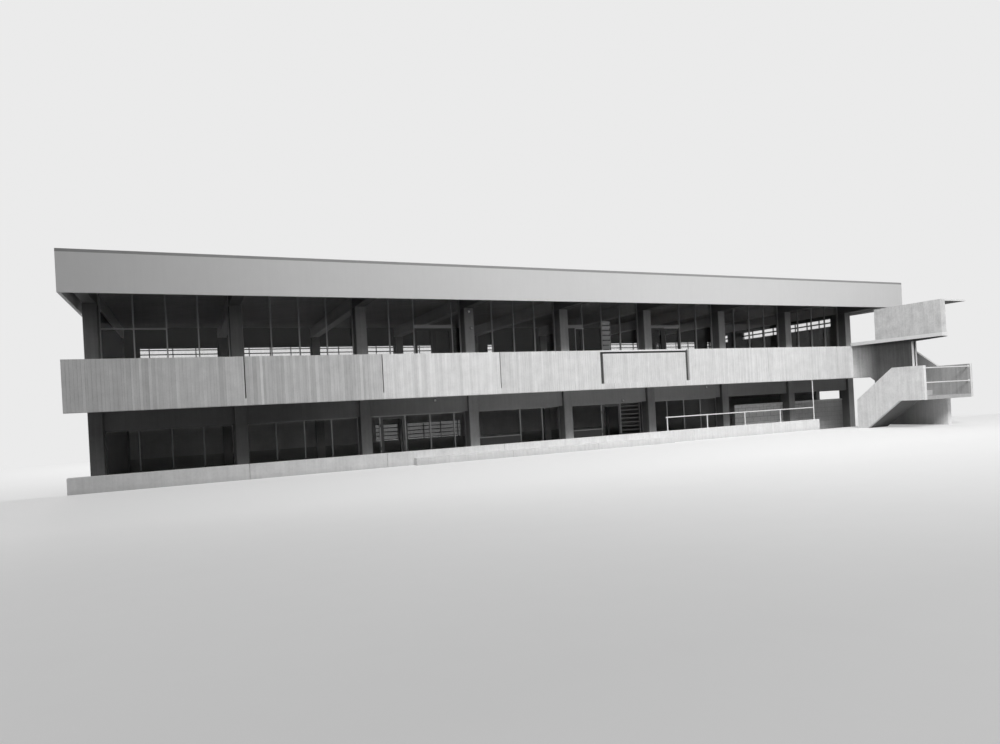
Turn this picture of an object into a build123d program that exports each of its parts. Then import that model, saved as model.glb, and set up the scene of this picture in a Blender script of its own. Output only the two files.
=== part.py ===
"""Two-storey school building with an open upper gallery and an outside concrete stair.

The long front faces -Y. A concrete frame stands on grid lines one bay apart. The lower
floor is sunk below the courtyard behind a low retaining wall. A gallery runs along the
upper floor behind board-marked concrete panels, and a deep flat fascia hides the roof.
At the right end a dog-leg stair climbs from the courtyard to the gallery, with a hood
of an upright panel and a thin plate over its upper flight.

All sizes are millimetres. X is measured from the first grid line, Y from the face of the
gallery panels and Z from the underside of the lower floor. save() moves every piece so
that the origin is at the middle of the footprint, on the ground.
"""
import math
import os
from build123d import *

# Grid
BAY = 3700
BAYS = 8
END_OVERHANG = 400

# Heights
LOWER_SLAB = 150
LOWER_CLEAR = 2130
FLOOR_BEAM_DEPTH = 600
UPPER_SLAB = 200
EDGE_BEAM_DEPTH = 310
BALUSTRADE_HEIGHT = 1000
UPPER_CLEAR = 2750
ROOF_BEAM_DEPTH = 420
ROOF_DECK = 150
FASCIA_DROP = 120
FASCIA_HEIGHT = 990
CAPPING = 80
COURTYARD_RISE = 640
AREA_WALL_HEIGHT = 410

# Depths, away from the face of the gallery panels
COLUMN_FRONT = 2550
COLUMN_WIDTH = 350
COLUMN_DEPTH = 550
GLAZING_SETBACK = 400
ROOM_DEPTH = 8600
REAR_WALL = 200
REAR_OVERHANG = 650

# Beams
FLOOR_BEAM_WIDTH = 300
ROOF_BEAM_WIDTH = 300
EDGE_BEAM = 200

# Gallery panels, with a wide slot each side of the recessed one
PANEL = 150
PANEL_DROP = 120
NARROW_SLOT = 18
SLOT = 30
RECESSED_BAY = 4
SLOT_OFFSET = 54
LEFT_WIDE_SLOT = 150
RIGHT_WIDE_SLOT = 110
PANEL_RECESS = 60
PANEL_CAP = 90

# Fascia
FASCIA = 80
CAPPING_LIP = 10

# Windows
FRAME_BAR = 35
FRAME_DEPTH = 60
PANE = 8
BAY_PANES = 4
REAR_SILL = 900
REAR_HEAD_DROP = 380
CLERESTORY_HEAD_DROP = 130
CLERESTORY_HEIGHT = 420
CLERESTORY_START = 350
CLERESTORY_END = 250
CLERESTORY_PANES = 8
CLERESTORY_PIER = 1150
SHORT_CLERESTORY = 800

# Lower front: bars at distances from the left column and from the right column
LOWER_BARS = {2: ((365, 1215), (1270, 410)), 3: ((), (1605, 720)), 4: ((1470, 2325), (140,))}
DOOR_BAYS = (2, 4)
LOW_RAIL_BAYS = (3, 4)
LOW_RAIL = 1150

# Doors
DOOR_HEIGHT = 2100
DOOR_HEAD = 110
DOOR_LEAF = 45
DOOR_STILE = 90
DOOR_GAP = 6
RIGHT_PAIR_BAY = 2
SINGLE_DOOR_BAY = 4
LEFT_PAIR_BAY = 5
DOOR_SIDE = 320
THIN_RAIL_BAY = 0
HINGE_RADIUS = 10
HINGE_LENGTH = 100
HINGE_PLATE = 4
HINGE_PLATE_WIDTH = 30
HINGE_PLAY = 0.3
HINGE_HEIGHTS = (250, 1000, 1750)

# End walls and undercroft
END_WALL = 200
UNDERCROFT_GRID = 6
SCREEN_START = 620
SCREEN_HEIGHT = 1755
SCREEN_WALL = 200
END_OPENING = 1400

# Retaining wall, plinth and handrail
AREA_WALL = 200
AREA_WALL_TO_STAIR = 950
PLINTH_START = 770
PLINTH_END = 1090
PLINTH_HEIGHT = 210
PLINTH_DEPTH = 300
RAIL_TUBE = 42
RAIL_HEIGHT = 500
RAIL_END = 60
POST_INSET = 190
POST_SPACING = 1780
POSTS = 5

# Stair
STAIR_BEFORE_GRID = 220
STAIR_WIDTH = 2740
STAIR_WALL = 130
LOWER_FLIGHT = 990
SPINE = 280
GROOVE_START = 130
GROOVE = 70
GROOVE_DEPTH = 60
RISERS = 6
GOING = 268
LINK_LANDING = 1030
LANDING_DEPTH = 1550
LANDING_SLAB = 125
WAIST_DROP = 500
STAIR_WALL_HEIGHT = 1105
SPINE_OVER_LANDING = 310
SUPPORT_WALL = 200
SUPPORT_INSET = 190
SUPPORT_SETBACK = 770
LANDING_RAIL_TUBE = 45
LANDING_TOP_RAIL = 1015
LANDING_MID_RAIL = 485

# Hood over the upper flight
HOOD_SLAB = 130
HOOD_SLAB_WIDTH = 270
HOOD_SLAB_LIP = 80
HOOD_SLAB_SIDE = 90
CORBEL_ROOT = 70
CORBEL_TIP = 20
CORBEL_SETBACK = 60
HOOD_PANEL = 250
HOOD_PANEL_SETBACK = 15
HOOD_PANEL_LENGTH = 2800
HOOD_PANEL_HEIGHT = 1200
HOOD_ROOF = 60
HOOD_ROOF_WIDTH = 1180

# Levels, upwards from the underside of the lower floor
BEAM_UNDERSIDE = LOWER_SLAB + LOWER_CLEAR
SLAB_UNDERSIDE = BEAM_UNDERSIDE + FLOOR_BEAM_DEPTH
UPPER_FLOOR = SLAB_UNDERSIDE + UPPER_SLAB
GALLERY_UNDERSIDE = UPPER_FLOOR - EDGE_BEAM_DEPTH
PANEL_FOOT = UPPER_FLOOR - PANEL_DROP
BALUSTRADE_TOP = UPPER_FLOOR + BALUSTRADE_HEIGHT
ROOF_BEAM_UNDERSIDE = UPPER_FLOOR + UPPER_CLEAR
ROOF_UNDERSIDE = ROOF_BEAM_UNDERSIDE + ROOF_BEAM_DEPTH
ROOF_TOP = ROOF_UNDERSIDE + ROOF_DECK
FASCIA_BOTTOM = ROOF_BEAM_UNDERSIDE - FASCIA_DROP
FASCIA_TOP = FASCIA_BOTTOM + FASCIA_HEIGHT
UPPER_DOOR_HEAD = UPPER_FLOOR + DOOR_HEIGHT
COURTYARD = LOWER_SLAB + COURTYARD_RISE
AREA_WALL_TOP = COURTYARD + AREA_WALL_HEIGHT
SCREEN_TOP = LOWER_SLAB + SCREEN_HEIGHT
REAR_HEAD = ROOF_BEAM_UNDERSIDE - REAR_HEAD_DROP
CLERESTORY_HEAD = ROOF_BEAM_UNDERSIDE - CLERESTORY_HEAD_DROP
CLERESTORY_SILL = CLERESTORY_HEAD - CLERESTORY_HEIGHT

# Places along and across the building
LEFT_END = -END_OVERHANG
RIGHT_END = BAY * BAYS + END_OVERHANG
COLUMN_BACK = COLUMN_FRONT + COLUMN_DEPTH
GLAZING = COLUMN_FRONT + GLAZING_SETBACK
REAR_COLUMN_FRONT = COLUMN_BACK + ROOM_DEPTH
REAR_COLUMN_BACK = REAR_COLUMN_FRONT + COLUMN_DEPTH
REAR_WALL_INNER = REAR_COLUMN_FRONT + (COLUMN_DEPTH - REAR_WALL) / 2
REAR_GLAZING = REAR_WALL_INNER + (REAR_WALL - FRAME_DEPTH) / 2
ROOF_BACK = REAR_COLUMN_BACK + REAR_OVERHANG

# Places of the stair, from the gallery out to the courtyard
STAIR_LEFT = BAY * (BAYS - 1) - STAIR_BEFORE_GRID
STAIR_RIGHT = STAIR_LEFT + STAIR_WIDTH
FLIGHT_LEFT = STAIR_LEFT + STAIR_WALL
FLIGHT_RIGHT = STAIR_RIGHT - STAIR_WALL
SPINE_LEFT = FLIGHT_LEFT + LOWER_FLIGHT
SPINE_RIGHT = SPINE_LEFT + SPINE
RISER = (UPPER_FLOOR - COURTYARD) / (2 * RISERS)
PITCH = RISER / GOING
LANDING_TOP = COURTYARD + RISERS * RISER
LANDING_UNDERSIDE = LANDING_TOP - LANDING_SLAB
STAIR_FOOT = -LINK_LANDING
LANDING_BACK = STAIR_FOOT - (RISERS - 1) * GOING
LANDING_FRONT = LANDING_BACK - LANDING_DEPTH
STAIR_WALL_TOP = LANDING_TOP + STAIR_WALL_HEIGHT
SPINE_NEAR_END = LANDING_BACK - SPINE_OVER_LANDING
HOOD_LEFT = SPINE_LEFT - HOOD_SLAB_SIDE
HOOD_SLAB_FRONT = LANDING_FRONT - HOOD_SLAB_LIP
HOOD_SLAB_TOP = BALUSTRADE_TOP + HOOD_SLAB
HOOD_PANEL_FRONT = HOOD_SLAB_FRONT + HOOD_PANEL_SETBACK
HOOD_PANEL_BACK = HOOD_PANEL_FRONT + HOOD_PANEL_LENGTH
HOOD_TOP = HOOD_SLAB_TOP + HOOD_PANEL_HEIGHT
AREA_WALL_END = STAIR_LEFT - AREA_WALL_TO_STAIR
TALL_POST = AREA_WALL_END - POST_INSET

# Middle of the footprint
CENTRE_X = (LEFT_END + RIGHT_END) / 2
CENTRE_Y = (HOOD_SLAB_FRONT + ROOF_BACK) / 2


def grid(line):
    """Distance of a grid line from the first one."""
    return line * BAY


def block(x0, x1, y0, y1, z0, z1):
    """A plain slab or post between two corners."""
    corner = Pos(min(x0, x1), min(y0, y1), min(z0, z1))
    return corner * Box(abs(x1 - x0), abs(y1 - y0), abs(z1 - z0), align=(Align.MIN,) * 3)


def side_profile(points, x0, x1):
    """A wall or flight: an outline in (Y, Z), carried from x0 to x1."""
    face = Plane.YZ * make_face(Polyline(*points, close=True))
    return Pos(x0, 0, 0) * extrude(face, amount=x1 - x0)


def group(solids):
    """Like pieces that don't touch, kept in one file."""
    return Compound(children=[solid for shape in solids for solid in shape.solids()])


def save(name, shape):
    """Move a piece into the part's own frame and write it."""
    export_step(Pos(-CENTRE_X, -CENTRE_Y, 0) * shape, f"parts/{name}.step")


def bay_clear(bay):
    """Clear opening of a bay, between the faces of its two columns."""
    return grid(bay) + COLUMN_WIDTH / 2, grid(bay + 1) - COLUMN_WIDTH / 2


# Floors, columns and beams

def lower_floor():
    """Ground slab from the retaining wall to the rear wall."""
    return block(LEFT_END, RIGHT_END, AREA_WALL, REAR_COLUMN_BACK, 0, LOWER_SLAB)


def upper_floor():
    """Upper slab, which runs out under the gallery to the edge beam."""
    return block(LEFT_END, RIGHT_END, EDGE_BEAM, REAR_COLUMN_BACK, SLAB_UNDERSIDE, UPPER_FLOOR)


def edge_beam():
    """Edge of the gallery floor, cut back where the concrete panels hang down over it."""
    beam = block(LEFT_END, RIGHT_END, 0, EDGE_BEAM, GALLERY_UNDERSIDE, UPPER_FLOOR)
    for x0, x1 in ((LEFT_END, SPINE_LEFT), (STAIR_RIGHT, RIGHT_END)):
        beam -= block(x0, x1, 0, PANEL, PANEL_FOOT, UPPER_FLOOR)
    return beam


def columns(front):
    """Columns on every grid line, in two lengths that stop at the upper slab."""
    solids = []
    for line in range(BAYS + 1):
        x0 = grid(line) - COLUMN_WIDTH / 2
        for z0, z1 in ((LOWER_SLAB, SLAB_UNDERSIDE), (UPPER_FLOOR, ROOF_BEAM_UNDERSIDE)):
            solids.append(block(x0, x0 + COLUMN_WIDTH, front, front + COLUMN_DEPTH, z0, z1))
    return group(solids)


def long_floor_beams(front):
    """Beams between the columns, along the building."""
    y0 = front + (COLUMN_DEPTH - FLOOR_BEAM_WIDTH) / 2
    return group(
        block(*bay_clear(bay), y0, y0 + FLOOR_BEAM_WIDTH, BEAM_UNDERSIDE, SLAB_UNDERSIDE)
        for bay in range(BAYS)
    )


def cross_floor_beams():
    """Beams from the front columns to the rear ones."""
    half = FLOOR_BEAM_WIDTH / 2
    return group(
        block(grid(line) - half, grid(line) + half, COLUMN_BACK, REAR_COLUMN_FRONT,
              BEAM_UNDERSIDE, SLAB_UNDERSIDE)
        for line in range(BAYS + 1)
    )


# Roof

def roof_beams():
    """One beam on each grid line, from the front fascia to the rear one."""
    half = ROOF_BEAM_WIDTH / 2
    return group(
        block(grid(line) - half, grid(line) + half, FASCIA, ROOF_BACK - FASCIA,
              ROOF_BEAM_UNDERSIDE, ROOF_UNDERSIDE)
        for line in range(BAYS + 1)
    )


def roof_deck():
    """Flat deck on the beams, inside the fascias."""
    return block(LEFT_END + FASCIA, RIGHT_END - FASCIA, FASCIA, ROOF_BACK - FASCIA,
                 ROOF_UNDERSIDE, ROOF_TOP)


def long_fascia(y0):
    """Fascia along the front or the rear."""
    return block(LEFT_END, RIGHT_END, y0, y0 + FASCIA, FASCIA_BOTTOM, FASCIA_TOP)


def side_fascias():
    """Fascias across the two ends, between the long ones."""
    return group(
        block(x0, x0 + FASCIA, FASCIA, ROOF_BACK - FASCIA, FASCIA_BOTTOM, FASCIA_TOP)
        for x0 in (LEFT_END, RIGHT_END - FASCIA)
    )


def roof_capping():
    """Thin metal ring on top of the fascias."""
    outer = block(LEFT_END, RIGHT_END, 0, ROOF_BACK, FASCIA_TOP, FASCIA_TOP + CAPPING)
    inset = FASCIA + CAPPING_LIP
    inner = block(LEFT_END + inset, RIGHT_END - inset, inset, ROOF_BACK - inset,
                  FASCIA_TOP, FASCIA_TOP + CAPPING)
    return outer - inner


# Gallery panels

def joint_at(line):
    """X range of the open joint between two panels at a grid line."""
    if line == RECESSED_BAY:
        start = grid(line) - SLOT_OFFSET
        return start, start + LEFT_WIDE_SLOT
    if line == RECESSED_BAY + 1:
        end = grid(line) - SLOT_OFFSET
        return end - RIGHT_WIDE_SLOT, end
    half = (SLOT if line < RECESSED_BAY else NARROW_SLOT) / 2
    return grid(line) - half, grid(line) + half


def panel_span(bay):
    """Ends of a panel, between the joints on its two grid lines."""
    x0 = LEFT_END if bay == 0 else joint_at(bay)[1]
    x1 = SPINE_LEFT if bay == BAYS - 1 else joint_at(bay + 1)[0]
    return x0, x1


def balustrade_panels():
    """Concrete panels on the edge beam, one to a bay, and the one beyond the stair."""
    solids = [
        block(*panel_span(bay), 0, PANEL, PANEL_FOOT, BALUSTRADE_TOP)
        for bay in range(BAYS) if bay != RECESSED_BAY
    ]
    solids.append(block(STAIR_RIGHT, RIGHT_END, 0, PANEL, PANEL_FOOT, BALUSTRADE_TOP))
    return group(solids)


def recessed_panel():
    """The panel that is set back a little under a projecting cap."""
    x0, x1 = panel_span(RECESSED_BAY)
    body = block(x0, x1, PANEL_RECESS, PANEL, PANEL_FOOT, BALUSTRADE_TOP - PANEL_CAP)
    cap = block(joint_at(RECESSED_BAY)[0], x1, 0, PANEL,
                BALUSTRADE_TOP - PANEL_CAP, BALUSTRADE_TOP)
    return body + cap


def gallery_end_panels():
    """Panels that close the two ends of the gallery."""
    return group(
        block(x0, x0 + PANEL, PANEL, COLUMN_FRONT, UPPER_FLOOR, BALUSTRADE_TOP)
        for x0 in (LEFT_END, RIGHT_END - PANEL)
    )


# Windows

def window(x0, x1, z0, z1, y0, posts=(), rails=()):
    """A window frame: four sides, upright bars and (height, x0, x1, depth) cross bars."""
    y1 = y0 + FRAME_DEPTH
    frame = block(x0, x1, y0, y1, z0, z1)
    frame -= block(x0 + FRAME_BAR, x1 - FRAME_BAR, y0, y1, z0 + FRAME_BAR, z1 - FRAME_BAR)
    for post in posts:
        frame += block(post - FRAME_BAR / 2, post + FRAME_BAR / 2, y0, y1, z0, z1)
    for height, r0, r1, depth in rails:
        frame += block(r0, r1, y0, y1, height, height + depth)
    return frame


def even_posts(x0, x1, panes=BAY_PANES):
    """Upright bars at equal steps across a bay."""
    return [x0 + (x1 - x0) * step / panes for step in range(1, panes)]


def upper_door_spans():
    """Bay and X range of each door on the gallery: whole panes, except at DOOR_SIDE."""
    def post(bay, number):
        return even_posts(*bay_clear(bay))[number]
    return {
        RIGHT_PAIR_BAY: (post(RIGHT_PAIR_BAY, 1), bay_clear(RIGHT_PAIR_BAY)[1] - DOOR_SIDE),
        SINGLE_DOOR_BAY: (bay_clear(SINGLE_DOOR_BAY)[0], post(SINGLE_DOOR_BAY, 0)),
        LEFT_PAIR_BAY: (bay_clear(LEFT_PAIR_BAY)[0], post(LEFT_PAIR_BAY, 1)),
    }


def upper_front_frames():
    """Full-height frames of the upper front: a head bar over each door, a thin one in one bay."""
    doors = upper_door_spans()
    frames = []
    for bay in range(BAYS):
        x0, x1 = bay_clear(bay)
        posts = even_posts(x0, x1)
        rails = []
        if bay in doors:
            d0, d1 = doors[bay]
            posts = [p for p in posts if p < d0 - FRAME_BAR or p > d1 + FRAME_BAR]
            posts += [p for p in (d0, d1) if x0 + FRAME_BAR < p < x1 - FRAME_BAR]
            rails = [(UPPER_DOOR_HEAD, d0, d1, DOOR_HEAD)]
        if bay == THIN_RAIL_BAY:
            rails = [(UPPER_DOOR_HEAD - FRAME_BAR, x0, posts[1], FRAME_BAR)]
        frames.append(window(x0, x1, UPPER_FLOOR, ROOF_UNDERSIDE, GLAZING, posts, rails))
    return group(frames)


def upper_front_glass():
    """One sheet behind the bars of each bay."""
    y0 = GLAZING + FRAME_DEPTH
    return group(
        block(*bay_clear(bay), y0, y0 + PANE, UPPER_FLOOR, ROOF_UNDERSIDE)
        for bay in range(BAYS)
    )


def lower_bars(bay):
    """Upright bars of a lower bay, in order from its left column."""
    x0, x1 = bay_clear(bay)
    if bay not in LOWER_BARS:
        return even_posts(x0, x1)
    from_left, from_right = LOWER_BARS[bay]
    return [x0 + step for step in from_left] + [x1 - step for step in from_right]


def lower_door_span(bay):
    """X range of the doorway in a lower bay, between the bars that frame it."""
    return tuple(lower_bars(bay)[:2])


def lower_front_frames():
    """Frames of the lower front, parted round each doorway."""
    frames = []
    for bay in range(UNDERCROFT_GRID):
        x0, x1 = bay_clear(bay)
        bars = lower_bars(bay)
        y1 = GLAZING + FRAME_DEPTH
        rails = []
        if bay in LOW_RAIL_BAYS:
            rails = [(LOWER_SLAB + LOW_RAIL, x0, bars[0], FRAME_BAR)]
        if bay not in DOOR_BAYS:
            frames.append(window(x0, x1, LOWER_SLAB, BEAM_UNDERSIDE, GLAZING, bars, rails))
            continue
        d0, d1 = lower_door_span(bay)
        half = FRAME_BAR / 2
        frames.append(window(x0, d0 + half, LOWER_SLAB, BEAM_UNDERSIDE, GLAZING, (), rails))
        inner = [bar for bar in bars if bar > d1]
        frames.append(window(d1 - half, x1, LOWER_SLAB, BEAM_UNDERSIDE, GLAZING, inner))
        frames.append(block(d0 + half, d1 - half, GLAZING, y1,
                            BEAM_UNDERSIDE - FRAME_BAR, BEAM_UNDERSIDE))
    return group(frames)


def lower_front_glass():
    """Sheets behind the bars of the lower front, beside the doorways."""
    y0 = GLAZING + FRAME_DEPTH
    sheets = []
    for bay in range(UNDERCROFT_GRID):
        x0, x1 = bay_clear(bay)
        spans = [(x0, x1)]
        if bay in DOOR_BAYS:
            d0, d1 = lower_door_span(bay)
            spans = [(x0, d0 + FRAME_BAR / 2), (d1 - FRAME_BAR / 2, x1)]
        for s0, s1 in spans:
            sheets.append(block(s0, s1, y0, y0 + PANE, LOWER_SLAB, BEAM_UNDERSIDE))
    return group(sheets)


def hinge_axis(bay):
    """Place in plan of the hinge line of a lower door, in front of its left bar."""
    first, _ = lower_door_span(bay)
    return first + FRAME_BAR / 2 + DOOR_GAP / 2, GLAZING - HINGE_RADIUS


def hinge_plate(bay, start, end):
    """Plates on the face of a bar or a leaf, between two distances from the hinge line."""
    x, _ = hinge_axis(bay)
    return [
        block(x + start, x + end, GLAZING - HINGE_PLATE, GLAZING,
              LOWER_SLAB + height, LOWER_SLAB + height + HINGE_LENGTH)
        for height in HINGE_HEIGHTS
    ]


def door_hinges():
    """Barrels of the lower doors, each on a plate on the left bar of its doorway."""
    solids = []
    for bay in DOOR_BAYS:
        x, y = hinge_axis(bay)
        for height, plate in zip(HINGE_HEIGHTS, hinge_plate(bay, -HINGE_PLATE_WIDTH, 0)):
            z = LOWER_SLAB + height
            solids.append(tube((x, y, z), (x, y, z + HINGE_LENGTH), 2 * HINGE_RADIUS) + plate)
    return group(solids)


def door_leaf(bay):
    """Framed leaf of a lower doorway, with its hinge plates, and the glass in it."""
    d0, d1 = lower_door_span(bay)
    x0 = d0 + FRAME_BAR / 2 + DOOR_GAP
    x1 = d1 - FRAME_BAR / 2 - DOOR_GAP
    z0 = LOWER_SLAB + DOOR_GAP
    z1 = BEAM_UNDERSIDE - FRAME_BAR - DOOR_GAP
    y1 = GLAZING + DOOR_LEAF
    inner = (x0 + DOOR_STILE, x1 - DOOR_STILE)
    leaf = block(x0, x1, GLAZING, y1, z0, z1)
    leaf -= block(*inner, GLAZING, y1, z0 + 2 * DOOR_STILE, z1 - DOOR_STILE)
    reach = math.sqrt((HINGE_RADIUS + HINGE_PLAY) ** 2 - (HINGE_RADIUS - HINGE_PLATE) ** 2)
    for plate in hinge_plate(bay, reach, HINGE_PLATE_WIDTH):
        leaf += plate
    middle = GLAZING + DOOR_LEAF / 2
    pane = block(*inner, middle - PANE / 2, middle + PANE / 2, z0 + 2 * DOOR_STILE, z1 - DOOR_STILE)
    return leaf, pane


def upper_doors():
    """Stiles and rails of the gallery doors, in front of the glass."""
    solids = []
    for bay, (d0, d1) in upper_door_spans().items():
        x0, x1 = bay_clear(bay)
        first = d0 + FRAME_BAR if d0 == x0 else d0 + FRAME_BAR / 2
        last = d1 - FRAME_BAR / 2
        leaves = 2 if bay != SINGLE_DOOR_BAY else 1
        width = (last - first - (leaves - 1) * DOOR_GAP) / leaves
        for leaf in range(leaves):
            l0 = first + leaf * (width + DOOR_GAP)
            frame = block(l0, l0 + width, GLAZING + FRAME_DEPTH - DOOR_LEAF, GLAZING + FRAME_DEPTH,
                          UPPER_FLOOR + FRAME_BAR, UPPER_DOOR_HEAD)
            frame -= block(l0 + DOOR_STILE, l0 + width - DOOR_STILE, GLAZING, GLAZING + FRAME_DEPTH,
                           UPPER_FLOOR + FRAME_BAR + 2 * DOOR_STILE, UPPER_DOOR_HEAD - DOOR_STILE)
            solids.append(frame)
    return group(solids)


# Rear and end walls

def rear_window_levels():
    """Sill and head of the lower and the upper rear windows."""
    return (LOWER_SLAB + REAR_SILL, BEAM_UNDERSIDE), (UPPER_FLOOR + REAR_SILL, REAR_HEAD)


def rear_walls():
    """Low walls under the rear windows, and the strip between the upper heads and the deck."""
    y0, y1 = REAR_WALL_INNER, REAR_WALL_INNER + REAR_WALL
    (lower_sill, _), (upper_sill, upper_head) = rear_window_levels()
    solids = []
    for bay in range(BAYS):
        x0, x1 = bay_clear(bay)
        solids.append(block(x0, x1, y0, y1, LOWER_SLAB, lower_sill))
        solids.append(block(x0, x1, y0, y1, UPPER_FLOOR, upper_sill))
        solids.append(block(x0, x1, y0, y1, upper_head, ROOF_UNDERSIDE))
    return group(solids)


def rear_frames():
    """Frames of the rear windows on both floors."""
    return group(
        window(*bay_clear(bay), sill, head, REAR_GLAZING, even_posts(*bay_clear(bay)))
        for bay in range(BAYS) for sill, head in rear_window_levels()
    )


def rear_glass():
    """One sheet inside each rear window."""
    y1 = REAR_GLAZING
    return group(
        block(*bay_clear(bay), y1 - PANE, y1, sill, head)
        for bay in range(BAYS) for sill, head in rear_window_levels()
    )


def left_end_wall():
    """Plain wall on the first grid line, between the columns and under the beams."""
    x0, x1 = -END_WALL / 2, END_WALL / 2
    return group(
        block(x0, x1, COLUMN_BACK, REAR_COLUMN_FRONT, z0, z1)
        for z0, z1 in ((LOWER_SLAB, BEAM_UNDERSIDE), (UPPER_FLOOR, ROOF_BEAM_UNDERSIDE))
    )


def clerestory_spans():
    """Y ranges of the long and the short strip window in the right end wall."""
    short_end = REAR_COLUMN_FRONT - CLERESTORY_END
    short_start = short_end - SHORT_CLERESTORY
    return (
        (COLUMN_BACK + CLERESTORY_START, short_start - CLERESTORY_PIER, CLERESTORY_PANES),
        (short_start, short_end, 1),
    )


def right_end_wall():
    """Wall on the last grid line, with a way into the undercroft and high strip windows."""
    x0, x1 = grid(BAYS) - END_WALL / 2, grid(BAYS) + END_WALL / 2
    lower = block(x0, x1, COLUMN_BACK + END_OPENING, REAR_COLUMN_FRONT,
                  LOWER_SLAB, BEAM_UNDERSIDE)
    upper = block(x0, x1, COLUMN_BACK, REAR_COLUMN_FRONT, UPPER_FLOOR, ROOF_BEAM_UNDERSIDE)
    for y0, y1, _ in clerestory_spans():
        upper -= block(x0, x1, y0, y1, CLERESTORY_SILL, CLERESTORY_HEAD)
    return group([lower, upper])


def clerestory():
    """Frames and glass of the strip windows in the right end wall."""
    x0 = grid(BAYS) - FRAME_DEPTH / 2
    x1 = x0 + FRAME_DEPTH
    z0, z1 = CLERESTORY_SILL, CLERESTORY_HEAD
    frames = []
    glass = []
    for y0, y1, panes in clerestory_spans():
        frame = block(x0, x1, y0, y1, z0, z1)
        frame -= block(x0, x1, y0 + FRAME_BAR, y1 - FRAME_BAR, z0 + FRAME_BAR, z1 - FRAME_BAR)
        for post in even_posts(y0, y1, panes):
            frame += block(x0, x1, post - FRAME_BAR / 2, post + FRAME_BAR / 2, z0, z1)
        frames.append(frame)
        glass.append(block(x0 - PANE, x0, y0, y1, z0, z1))
    return group(frames), group(glass)


def undercroft_side_wall():
    """Wall that parts the lower rooms from the open undercroft."""
    x = grid(UNDERCROFT_GRID)
    return block(x - END_WALL / 2, x + END_WALL / 2, COLUMN_BACK, REAR_COLUMN_FRONT,
                 LOWER_SLAB, BEAM_UNDERSIDE)


def undercroft_screen():
    """Head-high screen walls between the columns of the undercroft."""
    solids = []
    for bay in range(UNDERCROFT_GRID, BAYS):
        x0, x1 = bay_clear(bay)
        if bay == UNDERCROFT_GRID:
            x0 += SCREEN_START
        solids.append(block(x0, x1, GLAZING, GLAZING + SCREEN_WALL, LOWER_SLAB, SCREEN_TOP))
    return group(solids)


# Retaining wall in front of the sunken floor

def area_wall():
    """Low wall along the edge of the courtyard."""
    return block(LEFT_END, AREA_WALL_END, 0, AREA_WALL, 0, AREA_WALL_TOP)


def area_plinth():
    """Lower step along the middle of the wall."""
    return block(grid(2) + PLINTH_START, grid(5) - PLINTH_END, -PLINTH_DEPTH, 0,
                 0, COURTYARD + PLINTH_HEIGHT)


def tube(start, end, diameter):
    """A round bar from one point to another."""
    axis = Vector(*end) - Vector(*start)
    return Plane(origin=start, z_dir=axis) * Cylinder(
        diameter / 2, axis.length, align=(Align.CENTER, Align.CENTER, Align.MIN))


def area_handrail():
    """Rail on short posts, ending at a tall post that reaches the gallery."""
    y = AREA_WALL / 2
    height = AREA_WALL_TOP + RAIL_HEIGHT - RAIL_TUBE / 2
    posts = [TALL_POST - step * POST_SPACING for step in range(POSTS)]
    rail = tube((posts[-1] - RAIL_END, y, height), (TALL_POST, y, height), RAIL_TUBE)
    rail += tube((TALL_POST, y, AREA_WALL_TOP), (TALL_POST, y, GALLERY_UNDERSIDE), RAIL_TUBE)
    for x in posts[1:]:
        rail += tube((x, y, AREA_WALL_TOP), (x, y, height), RAIL_TUBE)
    return rail


# Stair

def lower_soffit_depth(height):
    """Depth at which the underside of the lower flight reaches a height."""
    return STAIR_FOOT - (height - COURTYARD - RISER + WAIST_DROP) / PITCH


def upper_soffit_depth(height):
    """Depth at which the underside of the upper flight reaches a height."""
    return LANDING_BACK + (height - LANDING_TOP - RISER + WAIST_DROP) / PITCH


def step_points(start, rise_from, direction):
    """Corners of a run of steps from the first riser's foot to the last riser's top."""
    points = []
    for step in range(RISERS):
        y = start + direction * step * GOING
        points += [(y, rise_from + step * RISER), (y, rise_from + (step + 1) * RISER)]
    return points


def lower_flight():
    """Steps that climb from the courtyard towards the half landing, on a foot in the ground."""
    foot = lower_soffit_depth(COURTYARD)
    steps = step_points(STAIR_FOOT, COURTYARD, -1)
    points = [(STAIR_FOOT, 0)] + steps[1:-1] + [
        (LANDING_BACK, LANDING_UNDERSIDE),
        (lower_soffit_depth(LANDING_UNDERSIDE), LANDING_UNDERSIDE),
        (foot, COURTYARD), (foot, 0),
    ]
    return side_profile(points, FLIGHT_LEFT, SPINE_LEFT)


def upper_flight():
    """Steps from the half landing to the gallery, with a short landing at the top."""
    steps = step_points(LANDING_BACK, LANDING_TOP, 1)
    points = [(LANDING_BACK, LANDING_UNDERSIDE)] + steps[1:] + [
        (0, UPPER_FLOOR), (0, GALLERY_UNDERSIDE),
        (upper_soffit_depth(GALLERY_UNDERSIDE), GALLERY_UNDERSIDE),
        (upper_soffit_depth(LANDING_UNDERSIDE), LANDING_UNDERSIDE),
    ]
    return side_profile(points, SPINE_RIGHT, FLIGHT_RIGHT)


def half_landing():
    """Landing slab between the two side walls."""
    return block(FLIGHT_LEFT, FLIGHT_RIGHT, LANDING_FRONT, LANDING_BACK,
                 LANDING_UNDERSIDE, LANDING_TOP)


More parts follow.
